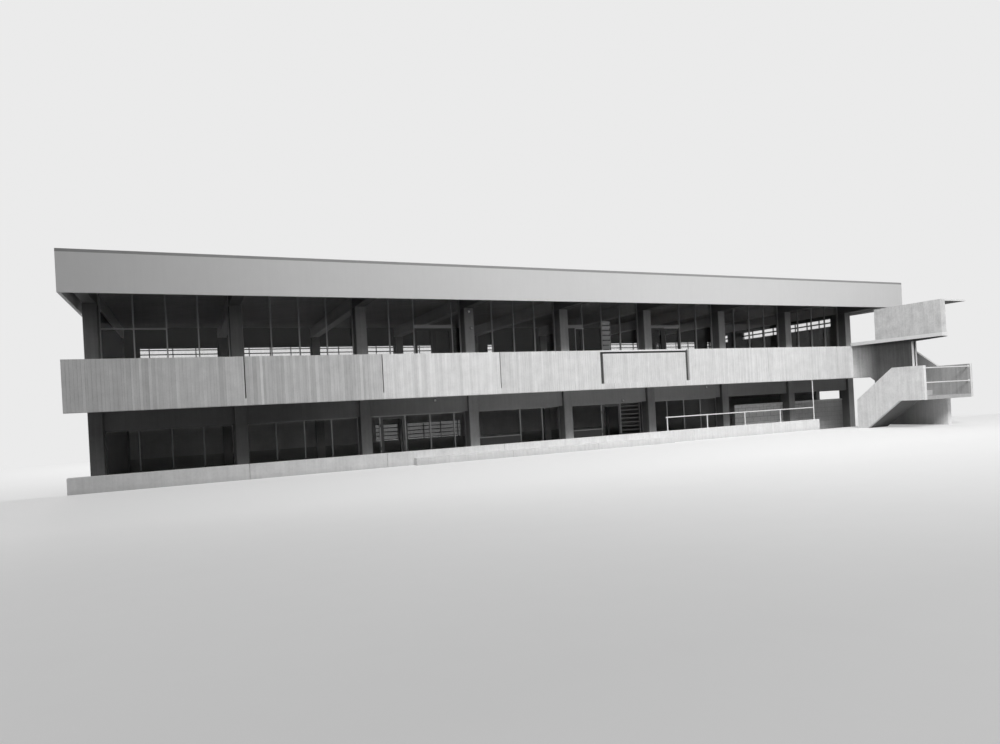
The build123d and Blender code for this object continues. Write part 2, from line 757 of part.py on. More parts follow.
def stair_left_wall():
    """Outer wall of the lower flight, cranked like the flight it guards."""
    flat_start = LANDING_BACK - GOING
    low_top = STAIR_WALL_TOP - (STAIR_FOOT - flat_start) * PITCH
    foot = lower_soffit_depth(COURTYARD)
    points = [
        (STAIR_FOOT, 0), (STAIR_FOOT, low_top), (flat_start, STAIR_WALL_TOP),
        (LANDING_FRONT, STAIR_WALL_TOP), (LANDING_FRONT, LANDING_UNDERSIDE),
        (lower_soffit_depth(LANDING_UNDERSIDE), LANDING_UNDERSIDE),
        (foot, COURTYARD), (foot, 0),
    ]
    return side_profile(points, STAIR_LEFT, FLIGHT_LEFT)


def stair_right_wall():
    """Outer wall of the upper flight, from the landing up to the gallery panels."""
    flat_end = LANDING_BACK - GOING
    points = [
        (LANDING_FRONT, LANDING_UNDERSIDE), (LANDING_FRONT, STAIR_WALL_TOP),
        (flat_end, STAIR_WALL_TOP),
        (flat_end + (BALUSTRADE_TOP - STAIR_WALL_TOP) / PITCH, BALUSTRADE_TOP),
        (0, BALUSTRADE_TOP), (0, GALLERY_UNDERSIDE),
        (upper_soffit_depth(GALLERY_UNDERSIDE), GALLERY_UNDERSIDE),
        (upper_soffit_depth(LANDING_UNDERSIDE), LANDING_UNDERSIDE),
    ]
    return side_profile(points, FLIGHT_RIGHT, STAIR_RIGHT)


def stair_spine_wall():
    """Wall between the flights, with a corbel under the slab and a groove in its near end."""
    corbel_under = BALUSTRADE_TOP - CORBEL_ROOT
    points = [
        (SPINE_NEAR_END, LANDING_TOP), (SPINE_NEAR_END, corbel_under),
        (HOOD_SLAB_FRONT + CORBEL_SETBACK, BALUSTRADE_TOP - CORBEL_TIP),
        (HOOD_SLAB_FRONT + CORBEL_SETBACK, BALUSTRADE_TOP),
        (PANEL, BALUSTRADE_TOP), (PANEL, UPPER_FLOOR), (0, UPPER_FLOOR), (0, GALLERY_UNDERSIDE),
        (upper_soffit_depth(GALLERY_UNDERSIDE), GALLERY_UNDERSIDE),
        (upper_soffit_depth(LANDING_UNDERSIDE), LANDING_UNDERSIDE),
        (LANDING_BACK, LANDING_UNDERSIDE), (LANDING_BACK, LANDING_TOP),
    ]
    groove = SPINE_LEFT + GROOVE_START
    return side_profile(points, SPINE_LEFT, SPINE_RIGHT) - block(
        groove, groove + GROOVE, SPINE_NEAR_END, SPINE_NEAR_END + GROOVE_DEPTH,
        LANDING_TOP, corbel_under)


def stair_support_wall():
    """Wall under the landing and the upper flight, down to the ground."""
    front = LANDING_FRONT + SUPPORT_SETBACK
    points = [
        (front, 0), (front, LANDING_UNDERSIDE),
        (upper_soffit_depth(LANDING_UNDERSIDE), LANDING_UNDERSIDE),
        (upper_soffit_depth(GALLERY_UNDERSIDE), GALLERY_UNDERSIDE),
        (0, GALLERY_UNDERSIDE), (0, 0),
    ]
    x1 = STAIR_RIGHT - SUPPORT_INSET
    return side_profile(points, x1 - SUPPORT_WALL, x1)


def landing_railing():
    """Two rails across the open front of the half landing."""
    y = LANDING_FRONT + STAIR_WALL / 2
    return group(
        tube((FLIGHT_LEFT, y, LANDING_TOP + height), (FLIGHT_RIGHT, y, LANDING_TOP + height),
             LANDING_RAIL_TUBE)
        for height in (LANDING_TOP_RAIL, LANDING_MID_RAIL)
    )


def hood_slab():
    """Narrow slab along the top of the spine wall, from the gallery to past the landing's edge."""
    return block(HOOD_LEFT, HOOD_LEFT + HOOD_SLAB_WIDTH, HOOD_SLAB_FRONT, 0,
                 BALUSTRADE_TOP, HOOD_SLAB_TOP)


def hood_panel():
    """Upright panel on the left edge of the slab."""
    return block(HOOD_LEFT, HOOD_LEFT + HOOD_PANEL, HOOD_PANEL_FRONT, HOOD_PANEL_BACK,
                 HOOD_SLAB_TOP, HOOD_TOP)


def hood_roof():
    """Thin plate that the panel carries at its top, over the upper flight."""
    x0 = HOOD_LEFT + HOOD_PANEL
    return block(x0, x0 + HOOD_ROOF_WIDTH, HOOD_PANEL_FRONT, HOOD_PANEL_BACK,
                 HOOD_TOP - HOOD_ROOF, HOOD_TOP)


def main():
    """Build every piece and write it to its own file."""
    os.makedirs("parts", exist_ok=True)
    save("ground_floor_slab", lower_floor())
    save("upper_floor_slab", upper_floor())
    save("gallery_edge_beam", edge_beam())
    save("front_columns", columns(COLUMN_FRONT))
    save("rear_columns", columns(REAR_COLUMN_FRONT))
    save("front_floor_beams", long_floor_beams(COLUMN_FRONT))
    save("rear_floor_beams", long_floor_beams(REAR_COLUMN_FRONT))
    save("cross_floor_beams", cross_floor_beams())
    save("roof_beams", roof_beams())
    save("roof_deck", roof_deck())
    save("front_fascia", long_fascia(0))
    save("rear_fascia", long_fascia(ROOF_BACK - FASCIA))
    save("side_fascias", side_fascias())
    save("roof_capping", roof_capping())
    save("balustrade_panels", balustrade_panels())
    save("recessed_panel", recessed_panel())
    save("gallery_end_panels", gallery_end_panels())
    save("upper_front_frames", upper_front_frames())
    save("upper_front_glass", upper_front_glass())
    save("upper_doors", upper_doors())
    save("lower_front_frames", lower_front_frames())
    save("lower_front_glass", lower_front_glass())
    for number, bay in enumerate(DOOR_BAYS, start=1):
        leaf, pane = door_leaf(bay)
        save(f"lower_door_{number}", leaf)
        save(f"lower_door_{number}_glass", pane)
    save("lower_door_hinges", door_hinges())
    save("rear_walls", rear_walls())
    save("rear_window_frames", rear_frames())
    save("rear_window_glass", rear_glass())
    save("left_end_wall", left_end_wall())
    save("right_end_wall", right_end_wall())
    frame, glass = clerestory()
    save("clerestory_frame", frame)
    save("clerestory_glass", glass)
    save("undercroft_side_wall", undercroft_side_wall())
    save("undercroft_screen", undercroft_screen())
    save("area_wall", area_wall())
    save("area_plinth", area_plinth())
    save("area_handrail", area_handrail())
    save("stair_lower_flight", lower_flight())
    save("stair_upper_flight", upper_flight())
    save("half_landing", half_landing())
    save("stair_left_wall", stair_left_wall())
    save("stair_right_wall", stair_right_wall())
    save("stair_spine_wall", stair_spine_wall())
    save("stair_support_wall", stair_support_wall())
    save("landing_railing", landing_railing())
    save("hood_slab", hood_slab())
    save("hood_panel", hood_panel())
    save("hood_roof", hood_roof())


main()
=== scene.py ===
# %% [markdown]
# A two-storey concrete school building, with a gallery along its upper floor. The packed
# model gives every solid in its place. This lesson dresses it: it swaps the plain gallery
# panels for board-marked ones, adds the small parts of windows, doors and rails, and gives
# each surface a finish worked out from its position. Metres throughout, +Y is away from us.

# %% Load the frame
import math

import bpy
import numpy as np
from mathutils import Matrix, Vector


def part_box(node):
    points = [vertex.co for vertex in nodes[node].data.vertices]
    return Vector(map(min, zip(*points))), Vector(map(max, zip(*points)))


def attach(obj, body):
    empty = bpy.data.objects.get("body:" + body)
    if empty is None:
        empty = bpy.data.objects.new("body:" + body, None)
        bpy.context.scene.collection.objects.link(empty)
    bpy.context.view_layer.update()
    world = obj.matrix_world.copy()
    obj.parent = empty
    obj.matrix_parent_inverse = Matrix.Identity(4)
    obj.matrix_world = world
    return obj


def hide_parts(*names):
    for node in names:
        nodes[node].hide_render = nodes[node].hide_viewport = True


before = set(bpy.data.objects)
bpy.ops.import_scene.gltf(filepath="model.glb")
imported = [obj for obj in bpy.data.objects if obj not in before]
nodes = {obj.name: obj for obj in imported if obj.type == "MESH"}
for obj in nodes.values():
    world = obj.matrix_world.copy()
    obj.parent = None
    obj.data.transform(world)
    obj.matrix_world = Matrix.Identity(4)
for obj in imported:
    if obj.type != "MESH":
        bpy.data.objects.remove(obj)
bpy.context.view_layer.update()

# %% [markdown]
# Drawings of a building measure from its grid lines. The first grid line, the face of the
# gallery and the bay width give the same frame here, so every later size can be read as
# it would be on the drawing. Sizes could be measured from the middle of the model
# instead, but then few of them would be round numbers. `to_row` moves a point to where
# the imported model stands, and `grid_box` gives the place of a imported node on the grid.

# %% The building's own grid
BAY, BAYS = 3.7, 8
COLUMN_HALF = 0.175
FIRST_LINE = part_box("front_columns")[0].x + COLUMN_HALF
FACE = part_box("gallery_edge_beam")[0].y
GRID_START = np.array([FIRST_LINE, FACE, 0.0])
GROUND_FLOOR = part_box("ground_floor_slab")[1].z
UPPER_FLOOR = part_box("upper_floor_slab")[1].z
FRONT_GROUND = GROUND_FLOOR + 0.64


def to_row(points):
    """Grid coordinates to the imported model's frame: add the place of line one and the face."""
    return np.asarray(points, float) + GRID_START


def grid_box(node):
    """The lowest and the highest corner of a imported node, in grid metres."""
    return [np.array(corner) - GRID_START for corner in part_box(node)]


GLAZING = grid_box("upper_front_frames")[0][1]
BAY_EDGES = [(bay * BAY + COLUMN_HALF, (bay + 1) * BAY - COLUMN_HALF) for bay in range(BAYS)]
print("grid starts at", round(FIRST_LINE, 3), round(FACE, 3), "glazing", round(GLAZING, 3))

# %% [markdown]
# The camera comes first, because all later choices are judged through it. It could be
# turned by eye until it looks right, but then its faults would hide among those of the
# model. The level edges of the long front and the upright edges give its direction, its
# small roll and its focal length. The lens shift says that the print is a crop of the
# negative.

# %% Camera
CAMERA_YAW, CAMERA_ROLL = math.radians(26.485), math.radians(3.05)
CAMERA_PLACE = (2.333, -20.65, 2.39)
CAMERA_LENS, CAMERA_SHIFT = 25.76, (-0.046, 0.0317)

forward = Vector((math.sin(CAMERA_YAW), math.cos(CAMERA_YAW), 0.0))
level = Vector((math.cos(CAMERA_YAW), -math.sin(CAMERA_YAW), 0.0))
upright = Vector((0.0, 0.0, 1.0))
camera_x = math.cos(CAMERA_ROLL) * level - math.sin(CAMERA_ROLL) * upright
camera_y = math.sin(CAMERA_ROLL) * level + math.cos(CAMERA_ROLL) * upright
camera = bpy.data.objects.new("camera", bpy.data.cameras.new("camera"))
bpy.context.scene.collection.objects.link(camera)
camera.matrix_world = Matrix.Translation(Vector(to_row(CAMERA_PLACE))) @ Matrix(
    (camera_x, camera_y, -forward)).transposed().to_4x4()
camera.data.sensor_width = 36.0
camera.data.lens = CAMERA_LENS
camera.data.shift_x, camera.data.shift_y = CAMERA_SHIFT
camera.data.clip_end = 500.0
bpy.context.scene.camera = camera
bpy.context.scene.view_settings.view_transform = "Standard"
print("camera at", tuple(round(v, 3) for v in camera.location))

# %% [markdown]
# Blender keeps a sky or a material as a tree of nodes. The trees could be drawn by hand
# in the shader editor, but a script can be read and run again. `Wires` is a short way to
# place nodes in one tree and join them, so a sum in the tree reads much as it would in
# words.

# %% Wires between nodes
WHITE = (1.0, 1.0, 1.0, 1.0)


class Wires:
    """A short way to place nodes in one tree and join them."""

    def __init__(self, tree):
        self.tree = tree

    def node(self, kind, **settings):
        """A new node, with its settings by name."""
        made = self.tree.nodes.new(kind)
        for name, value in settings.items():
            setattr(made, name, value)
        return made

    def put(self, value, socket):
        """Join an output to a socket, or set the socket to a number."""
        if isinstance(value, bpy.types.NodeSocket):
            self.tree.links.new(value, socket)
        else:
            socket.default_value = value

    def fill(self, node, *values):
        """Put values into the first sockets of a node, in their order."""
        for value, socket in zip(values, node.inputs):
            self.put(value, socket)
        return node

    def named(self, node, **values):
        """Put values into the sockets of a node by name. Gives its outputs."""
        for name, value in values.items():
            self.put(value, node.inputs[name])
        return node.outputs

    def maths(self, operation, a, b=0.0, c=0.0):
        """One sum on two or three values."""
        return self.fill(self.node("ShaderNodeMath", operation=operation), a, b, c).outputs[0]

    def place(self, kind="Object"):
        """The x, y and z of the shaded point, or of its normal, in the object's own frame."""
        where = self.node("ShaderNodeTexCoord").outputs[kind]
        return self.fill(self.node("ShaderNodeSeparateXYZ"), where).outputs

    def point(self, x, y, z):
        """A vector, or a colour, from three values."""
        return self.fill(self.node("ShaderNodeCombineXYZ"), x, y, z).outputs[0]

    def noise(self, vector, scale, detail=4.0, rough=0.55):
        """Soft cloud noise from 0 to 1."""
        return self.named(self.node("ShaderNodeTexNoise"), Vector=vector, Scale=scale, Detail=detail,
                          Roughness=rough)["Fac"]

    def stretch(self, value, low, high, to_low, to_high):
        """A value moved from one range to another, and held inside it."""
        node = self.node("ShaderNodeMapRange")
        return self.fill(node, value, low, high, to_low, to_high).outputs[0]

    def group(self, group, **values):
        """A placed copy of a group, with its inputs set by name."""
        return self.named(self.node("ShaderNodeGroup", node_tree=group), **values)

    def glow(self, strength):
        """A plain white glow of one strength."""
        return self.named(self.node("ShaderNodeEmission"), Color=WHITE, Strength=strength)[0]


# %% [markdown]
# Light: an even dull sky, and one wide soft lamp high in front and to the left, whose
# spread is narrow, so the building brightens towards its stair as it does in the
# photograph. A weak lamp lights the rear. A sun lamp could light the front too, but it
# would draw hard shadows under the roof, and the day of the photograph had none. The
# camera sees the sky as near white, and so do glass and metal.

# %% Sky and lamps
SKY_LIGHT, SKY_SEEN = 0.27, 0.83

world = bpy.data.worlds.new("sky")
bpy.context.scene.world = world
world.use_nodes = True
world.node_tree.nodes.clear()
w = Wires(world.node_tree)
rays = w.node("ShaderNodeLightPath").outputs
seen = w.maths("MAXIMUM", rays["Is Camera Ray"],
               w.maths("MAXIMUM", rays["Is Glossy Ray"], rays["Is Transmission Ray"]))
sky = w.named(w.node("ShaderNodeBackground"), Color=WHITE,
              Strength=w.stretch(seen, 0.0, 1.0, SKY_LIGHT, SKY_SEEN))
w.named(w.node("ShaderNodeOutputWorld"), Surface=sky[0])


def soft_lamp(name, place, target, size, power, spread=180):
    """A square area lamp that looks from its place at a target, both in grid metres."""
    data = bpy.data.lights.new(name, "AREA")
    data.size = size
    data.energy = power
    data.spread = math.radians(spread)
    lamp = bpy.data.objects.new(name, data)
    bpy.context.scene.collection.objects.link(lamp)
    start, end = Vector(to_row(place)), Vector(to_row(target))
    lamp.matrix_world = Matrix.Translation(start) @ (
        (end - start).to_track_quat("-Z", "Y").to_matrix().to_4x4())
    print(name, "reaches", round((end - start).length, 1), "m")


soft_lamp("front lamp", place=(8, -32, 28), target=(26, 0, 4), size=14, power=2800, spread=80)
soft_lamp("rear lamp", place=(2, 42, 20), target=(15, 12, 3), size=16, power=5000)

# %% [markdown]
# Most new pieces here are one idea: a profile carried along a path. The profile is a ring
# of points, each station of the path has its own copy of the ring, and quads join one
# ring to the next. The pieces could be modelled by hand, but worked out like this they
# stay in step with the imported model. `carried` takes all rings as one array, so a whole
# row of like pieces is one call, and numpy does the sums with no loop over points.

# %% Meshes from rings
def link_mesh(name, verts, faces, smooth=False):
    """An object at the origin whose mesh holds the given points and faces."""
    mesh = bpy.data.meshes.new(name)
    mesh.from_pydata(np.asarray(verts).tolist(), [], faces)
    if smooth:
        mesh.shade_smooth()
    mesh.validate()
    obj = bpy.data.objects.new(name, mesh)
    bpy.context.scene.collection.objects.link(obj)
    return obj


def ring_faces(count, stations, around, closed=False):
    """Quads between neighbouring rings of `count` tubes, and a cap on each open end."""
    point = np.arange(count * stations * around).reshape(count, stations, around)
    here = point if closed else point[:, :-1]
    there = np.roll(point, -1, axis=1) if closed else point[:, 1:]
    quads = np.stack([here, np.roll(here, -1, axis=2), np.roll(there, -1, axis=2), there], -1)
    faces = quads.reshape(-1, 4).tolist()
    if not closed:
        faces += point[:, 0, ::-1].tolist()
        faces += point[:, -1].tolist()
    return faces


def give(obj, material):
    """Set the only material of an object."""
    obj.data.materials.clear()
    obj.data.materials.append(material)


def carried(name, rings, material, body="building", replaced=(), closed=False, smooth=False):
    """One piece of tubes, from rings shaped (tubes, stations, around, 3) in grid metres.

    It rides on one body, has one finish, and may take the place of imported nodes.
    """
    rings = np.asarray(rings, float)
    if rings.ndim == 3:
        rings = rings[None]
    *shape, _ = rings.shape
    obj = link_mesh(name, to_row(rings.reshape(-1, 3)), ring_faces(*shape, closed), smooth)
    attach(obj, body)
    if replaced:
        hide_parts(*replaced)
    give(obj, material)
    return obj


def chamfered(lows, highs, edge):
    """Rings of chamfered blocks: eight points round x and z, at four depths along y.

    At the two ends the ring is drawn in by the chamfer, and between them it is full size.
    """
    edge = np.minimum(edge, (highs - lows).min(1) * 0.45)
    depths = (lows[:, 1], lows[:, 1] + edge, highs[:, 1] - edge, highs[:, 1])
    rings = []
    for y, inset in zip(depths, (1, 0, 0, 1)):
        x0, x1 = lows[:, 0] + inset * edge, highs[:, 0] - inset * edge
        z0, z1 = lows[:, 2] + inset * edge, highs[:, 2] - inset * edge
        bit = edge * (1 - inset) + edge * 0.001
        xs = np.stack([x0 + bit, x1 - bit, x1, x1, x1 - bit, x0 + bit, x0, x0], 1)
        zs = np.stack([z0, z0, z0 + bit, z1 - bit, z1, z1, z1 - bit, z0 + bit], 1)
        rings.append(np.stack([xs, np.repeat(y[:, None], 8, 1), zs], 2))
    return np.stack(rings, 1)[:, :, ::-1]


print("faces of a chamfered block:", len(ring_faces(1, 4, 8)))

# %% [markdown]
# A finish that more than one surface needs is a node group: it is built once and placed
# with other numbers. `mottle` is the cloudy tone of cast concrete or old paint. `boards`
# is the print of rough form boards: a tone of its own for each board, a dark line at each
# joint, and a streaky grain along the board. Pictures of concrete could do this too, but
# noise has no seam and fits a wall of any size. Both groups read Object coordinates, and
# put out values only, so the shader itself stays in each material.

# %% Shader groups
def new_group(name, inputs, outputs):
    """An empty shader group with named float sockets and their usual values."""
    group = bpy.data.node_groups.new(name, "ShaderNodeTree")
    for socket, value in inputs:
        made = group.interface.new_socket(socket, in_out="INPUT", socket_type="NodeSocketFloat")
        made.default_value = value
    for socket in outputs:
        group.interface.new_socket(socket, in_out="OUTPUT", socket_type="NodeSocketFloat")
    return group, group.nodes.new("NodeGroupInput").outputs, group.nodes.new("NodeGroupOutput").inputs


def mottle_group():
    """Cloudy tone about 1: large clouds, small clouds and rain streaks, and a fine height."""
    group, given, made = new_group(
        "mottle", [("Size", 1.2), ("Strength", 0.12), ("Streaks", 0.06)], ["Tone", "Height"])
    w = Wires(group)
    x, y, z = w.place()
    here = w.point(x, y, z)
    large = w.noise(here, w.maths("DIVIDE", 1.0, given["Size"]), 3.0)
    small = w.noise(here, w.maths("DIVIDE", 7.0, given["Size"]), 5.0, 0.6)
    streak = w.noise(w.point(w.maths("MULTIPLY", x, 14.0), w.maths("MULTIPLY", y, 14.0),
                             w.maths("MULTIPLY", z, 0.9)), 1.0, 3.0)
    cloud = w.maths("ADD", w.maths("MULTIPLY", large, 0.6), w.maths("MULTIPLY", small, 0.4))
    cloud = w.maths("SUBTRACT", cloud, 0.5)
    tone = w.maths("MULTIPLY_ADD", cloud, w.maths("MULTIPLY", given["Strength"], 4.0), 1.0)
    streak = w.maths("SUBTRACT", streak, 0.5)
    tone = w.maths("MULTIPLY_ADD", streak, w.maths("MULTIPLY", given["Streaks"], 4.0), tone)
    w.put(tone, made["Tone"])
    w.put(w.noise(here, 60.0, 3.0, 0.7), made["Height"])
    return group


def boards_group():
    """Form boards side by side: a random tone for each, a joint line, and grain along z."""
    group, given, made = new_group(
        "boards", [("Along", 0.0), ("Width", 0.1), ("Spread", 0.12)], ["Tone", "Height"])
    w = Wires(group)
    x, y, z = w.place()
    wander = w.noise(w.point(w.maths("MULTIPLY", given["Along"], 3.0), 0.0, 0.0), 1.0, 1.0)
    along = w.maths("MULTIPLY_ADD", wander, 0.12, given["Along"])
    cell = w.maths("DIVIDE", along, given["Width"])
    board = w.maths("FLOOR", cell)
    inside = w.maths("SUBTRACT", cell, board)
    edge = w.maths("ABSOLUTE", w.maths("SUBTRACT", inside, 0.5))
    joint = w.stretch(edge, 0.44, 0.5, 1.0, 0.0)
    chance = w.node("ShaderNodeTexWhiteNoise", noise_dimensions="1D")
    w.put(board, chance.inputs["W"])
    grain = w.noise(w.point(w.maths("MULTIPLY", given["Along"], 40.0), 0.0,
                            w.maths("MULTIPLY", z, 1.5)), 1.0, 4.0, 0.6)
    tone = w.maths("SUBTRACT", chance.outputs["Value"], 0.5)
    tone = w.maths("MULTIPLY_ADD", tone, given["Spread"], 1.0)
    tone = w.maths("MULTIPLY_ADD", w.maths("SUBTRACT", grain, 0.5), 0.10, tone)
    tone = w.maths("MULTIPLY", tone, w.stretch(joint, 0.0, 1.0, 0.90, 1.0))
    w.put(tone, made["Tone"])
    height = w.maths("MULTIPLY_ADD", chance.outputs["Value"], 0.4, joint)
    w.put(w.maths("MULTIPLY_ADD", grain, 0.3, height), made["Height"])
    return group


MOTTLE = mottle_group()
BOARDS = boards_group()
print("groups:", [g.name for g in bpy.data.node_groups])

# %% [markdown]
# Each material starts from a grey, because the photograph shows tone and no colour. The
# grey is multiplied by the tones from the groups, and the same noise gives roughness and
# a slight relief. Every material could have a tree of its own, but they differ only in
# numbers, so `finish` holds the steps. Each call gives the grey, the roughness, and the
# strength, size and streaks of the clouds, and then what is special to that surface. A
# ramp makes a surface lighter towards one end or on one side; most ramps here are painted
# light and painted shade, for where a surface is sheltered or faces away from the light.

# %% How a finish is made
X, Y, Z, FACING_X, FACING_Y, FACING_Z = range(6)
ROUGH_PLAY = 0.08


def plain_material(name):
    """A new material, with the wires of its tree and the sockets of its shader."""
    material = bpy.data.materials.new(name)
    material.use_nodes = True
    return material, Wires(material.node_tree), material.node_tree.nodes["Principled BSDF"].inputs


def finish(name, grey, rough, mottle, size, streaks, *ramps, board=0.0, width=0.1, relief=0.001,
           metal=0.0, tone_attribute=None):
    """A grey surface with clouds, streaks, and perhaps form boards, worked out from position.

    A ramp is (axis, start, end, from, to): the tone goes from one value to the other
    between two places on an axis, or between two ways of facing. Ramps multiply.
    """
    material, w, shader = plain_material(name)
    clouds = w.group(MOTTLE, Size=size, Strength=mottle, Streaks=streaks)
    tone, height = clouds["Tone"], clouds["Height"]
    if board:
        x, y, _ = w.place()
        marks = w.group(BOARDS, Along=w.maths("ADD", x, y), Width=width, Spread=board)
        tone = w.maths("MULTIPLY", tone, marks["Tone"])
        height = w.maths("MULTIPLY_ADD", marks["Height"], 1.5, height)
    if tone_attribute:
        read = w.node("ShaderNodeAttribute", attribute_name=tone_attribute)
        tone = w.maths("MULTIPLY", tone, read.outputs["Fac"])
    for axis, *limits in ramps:
        values = w.place() if axis < FACING_X else w.place("Normal")
        tone = w.maths("MULTIPLY", tone, w.stretch(values[axis % 3], *limits))
    shade = w.maths("MULTIPLY", tone, grey)
    w.put(w.point(shade, shade, shade), shader["Base Color"])
    dull, bright = min(rough + ROUGH_PLAY, 1.0), max(rough - ROUGH_PLAY, 0.05)
    w.put(w.stretch(clouds["Tone"], 0.7, 1.3, dull, bright), shader["Roughness"])
    shader["Metallic"].default_value = metal
    bump = w.named(w.node("ShaderNodeBump"), Distance=relief, Height=height)
    w.put(bump["Normal"], shader["Normal"])
    return material


# %% [markdown]
# The concretes differ most: the gallery front is pale and marked by boards, and the stair
# is paler and blotched. The parts of the stair are one concrete, but each has its own grey
# for how lit it looks: painted light and painted shade. The spine wall is dark, and
# lighter towards its foot, towards the gallery and on its near end: painted shade. What
# the roof and the hood shelter is darker on its undersides, on its left and towards its
# top: painted shade.

# %% Concretes
# Ramps by facing: undersides and left sides darker, fronts and tops lighter, as painted shade and painted
# light.
UNDER, TOP = (FACING_Z, -0.9, -0.3), (FACING_Z, 0.3, 0.9)
LEFT_SIDE, FRONT_SIDE = (FACING_X, -0.9, -0.3), (FACING_Y, -0.9, -0.3)
GALLERY_CONCRETE = finish("board-marked gallery concrete", 0.72, 0.85, 0.11, 0.30, 0.08,
                          tone_attribute="board_tone")
STAIR_CONCRETE = finish("board-marked stair concrete", 0.84, 0.85, 0.17, 0.4, 0.08, board=0.05, width=0.07,
                        relief=0.002)
# The hood's undersides are darker: painted shade.
HOOD_CONCRETE = finish("board-marked hood concrete", 0.68, 0.85, 0.26, 0.4, 0.08, (*UNDER, 0.5, 1.0),
                       board=0.03, width=0.07, relief=0.002)
# The landing's undersides are darker: painted shade.
LANDING_CONCRETE = finish("landing concrete", 0.47, 0.85, 0.16, 0.4, 0.06, (*UNDER, 0.5, 1.0))
EDGE_CONCRETE = finish("smooth edge concrete", 0.85, 0.8, 0.05, 0.6, 0.03)
# The plate's underside is darker: painted shade.
HOOD_PLATE = finish("thin hood plate", 0.85, 0.8, 0.05, 0.6, 0.03, (*UNDER, 0.2, 1.0))
# The spine wall's dark grey is painted shade: lighter towards its foot, towards the gallery and on its near
# end.
SPINE_SHADE_CONCRETE = finish("spine concrete with painted shade", 0.105, 0.9, 0.20, 0.5, 0.12, (Z, 2.9, 3.95, 1.5, 0.6),
                        (*FRONT_SIDE, 7.5, 1.0), (Y, FACE - 1.1, FACE, 0.8, 4.6), board=0.20, width=0.08,
                        relief=0.002)
# The wall's inner face, which looks left, is darker: painted shade.
GUARD_CONCRETE = finish("far guard wall concrete", 0.80, 0.85, 0.14, 0.5, 0.08, (*LEFT_SIDE, 0.58, 1.0),
                        board=0.20, width=0.08, relief=0.002)
support_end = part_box("stair_support_wall")[0].y
SUPPORT_CONCRETE = finish("shaded support concrete", 0.95, 0.85, 0.12, 0.5, 0.06,
                          (Y, support_end, support_end + 1.9, 1.0, 0.26), board=0.08)
# The flights' soffits are darker: painted shade.
FLIGHT_CONCRETE = finish("flight concrete", 0.60, 0.85, 0.12, 0.6, 0.06, (FACING_Z, -0.7, -0.3, 0.30, 1.0))
SHADED_CONCRETE = finish("frame concrete", 0.42, 0.85, 0.10, 0.7, 0.04,
                         (X, FIRST_LINE + 5.0, FIRST_LINE + 12.0, 0.30, 1.0),
                         (X, FIRST_LINE + 18.7, FIRST_LINE + 24.0, 1.0, 0.62), board=0.04, width=0.14)
# Columns: left sides darker, lower ones lighter towards the foot, upper ones darker towards the top, and a
# tone for each column read from its points: painted shade and painted light.
COLUMN_CONCRETE = finish("column concrete", 0.38, 0.85, 0.14, 0.6, 0.08, (*LEFT_SIDE, 0.4, 1.0),
                         (Z, GROUND_FLOOR + 0.7, GROUND_FLOOR + 2.1, 2.3, 1.0),
                         (Z, UPPER_FLOOR + 1.0, UPPER_FLOOR + 2.6, 1.0, 0.28), board=0.06, width=0.09,
                         tone_attribute="column_painted_light")
FLOOR_CONCRETE = finish("floor slab concrete", 0.60, 0.8, 0.10, 1.0, 0.0)
# The low wall is darker near its foot. Its tops are lighter: painted light.
WALL_TOP = finish("low wall render", 0.84, 0.85, 0.12, 0.5, 0.06,
                  (Z, FRONT_GROUND, FRONT_GROUND + 0.14, 0.86, 1.0), (*TOP, 1.0, 1.15))
print(len(bpy.data.materials), "concretes")

# %% [markdown]
# Paint, metal and blockwork are smoother and more even. Little light reaches what stands
# behind the glazing, so it is made paler there: painted light, which starts at INSIDE and
# BELOW. The roof lining and beams, the inner walls and the boards inside the windows are
# dark grey for the shade they stand in: painted shade.

# %% Paint, metal and blockwork
INSIDE = (Y, FACE + GLAZING, FACE + GLAZING + 0.3, 1.0)
BELOW = (Z, UPPER_FLOOR - 0.5, UPPER_FLOOR - 0.1)
# The roof lining and beams are dark grey for the shade under the roof, and paler behind the glazing:
# painted shade and painted light.
SOFFIT = finish("roof lining with painted shade", 0.10, 0.75, 0.10, 1.2, 0.0, (*INSIDE, 4.4), board=0.15, width=0.15)
ROOF_BEAM = finish("roof beams with painted shade", 0.10, 0.6, 0.08, 0.8, 0.03, (*INSIDE, 6.0))
FASCIA = finish("fascia paint", 0.67, 0.42, 0.025, 2.2, 0.012, relief=0.0003)
CAPPING = finish("dark capping", 0.32, 0.5, 0.06, 0.8, 0.0, relief=0.0003)
ROOFING = finish("roof sheeting", 0.42, 0.5, 0.10, 2.5, 0.05, relief=0.0005)
# The upper front frames are paler than the other aluminium and darker towards their head: painted light and
# painted shade.
FRAME_METAL = finish("front window aluminium", 0.90, 0.42, 0.05, 0.5, 0.03, (Z, 4.3, 5.6, 1.0, 0.30),
                     relief=0.0003)
# Window aluminium is darker towards the left end of the building: painted shade.
ALUMINIUM = finish("window aluminium", 0.42, 0.42, 0.05, 0.5, 0.03,
                   (X, FIRST_LINE + 4.0, FIRST_LINE + 8.0, 0.25, 1.0), metal=0.6, relief=0.0003)
DOOR_METAL = finish("door aluminium", 0.12, 0.45, 0.05, 0.5, 0.03, metal=0.3, relief=0.0003)
DARK_METAL = finish("dark door paint", 0.06, 0.45, 0.08, 0.5, 0.03, relief=0.0003)
# The boards inside the windows are dark grey for the shade in the rooms, and the lower ones lighter:
# painted shade and painted light.
INNER_BOARD = finish("inner boards with painted shade", 0.11, 0.9, 0.15, 0.5, 0.0, (*BELOW, 5.5, 1.0), relief=0.0005)
BLOCKWORK = finish("painted blockwork", 0.72, 0.85, 0.10, 0.6, 0.05)
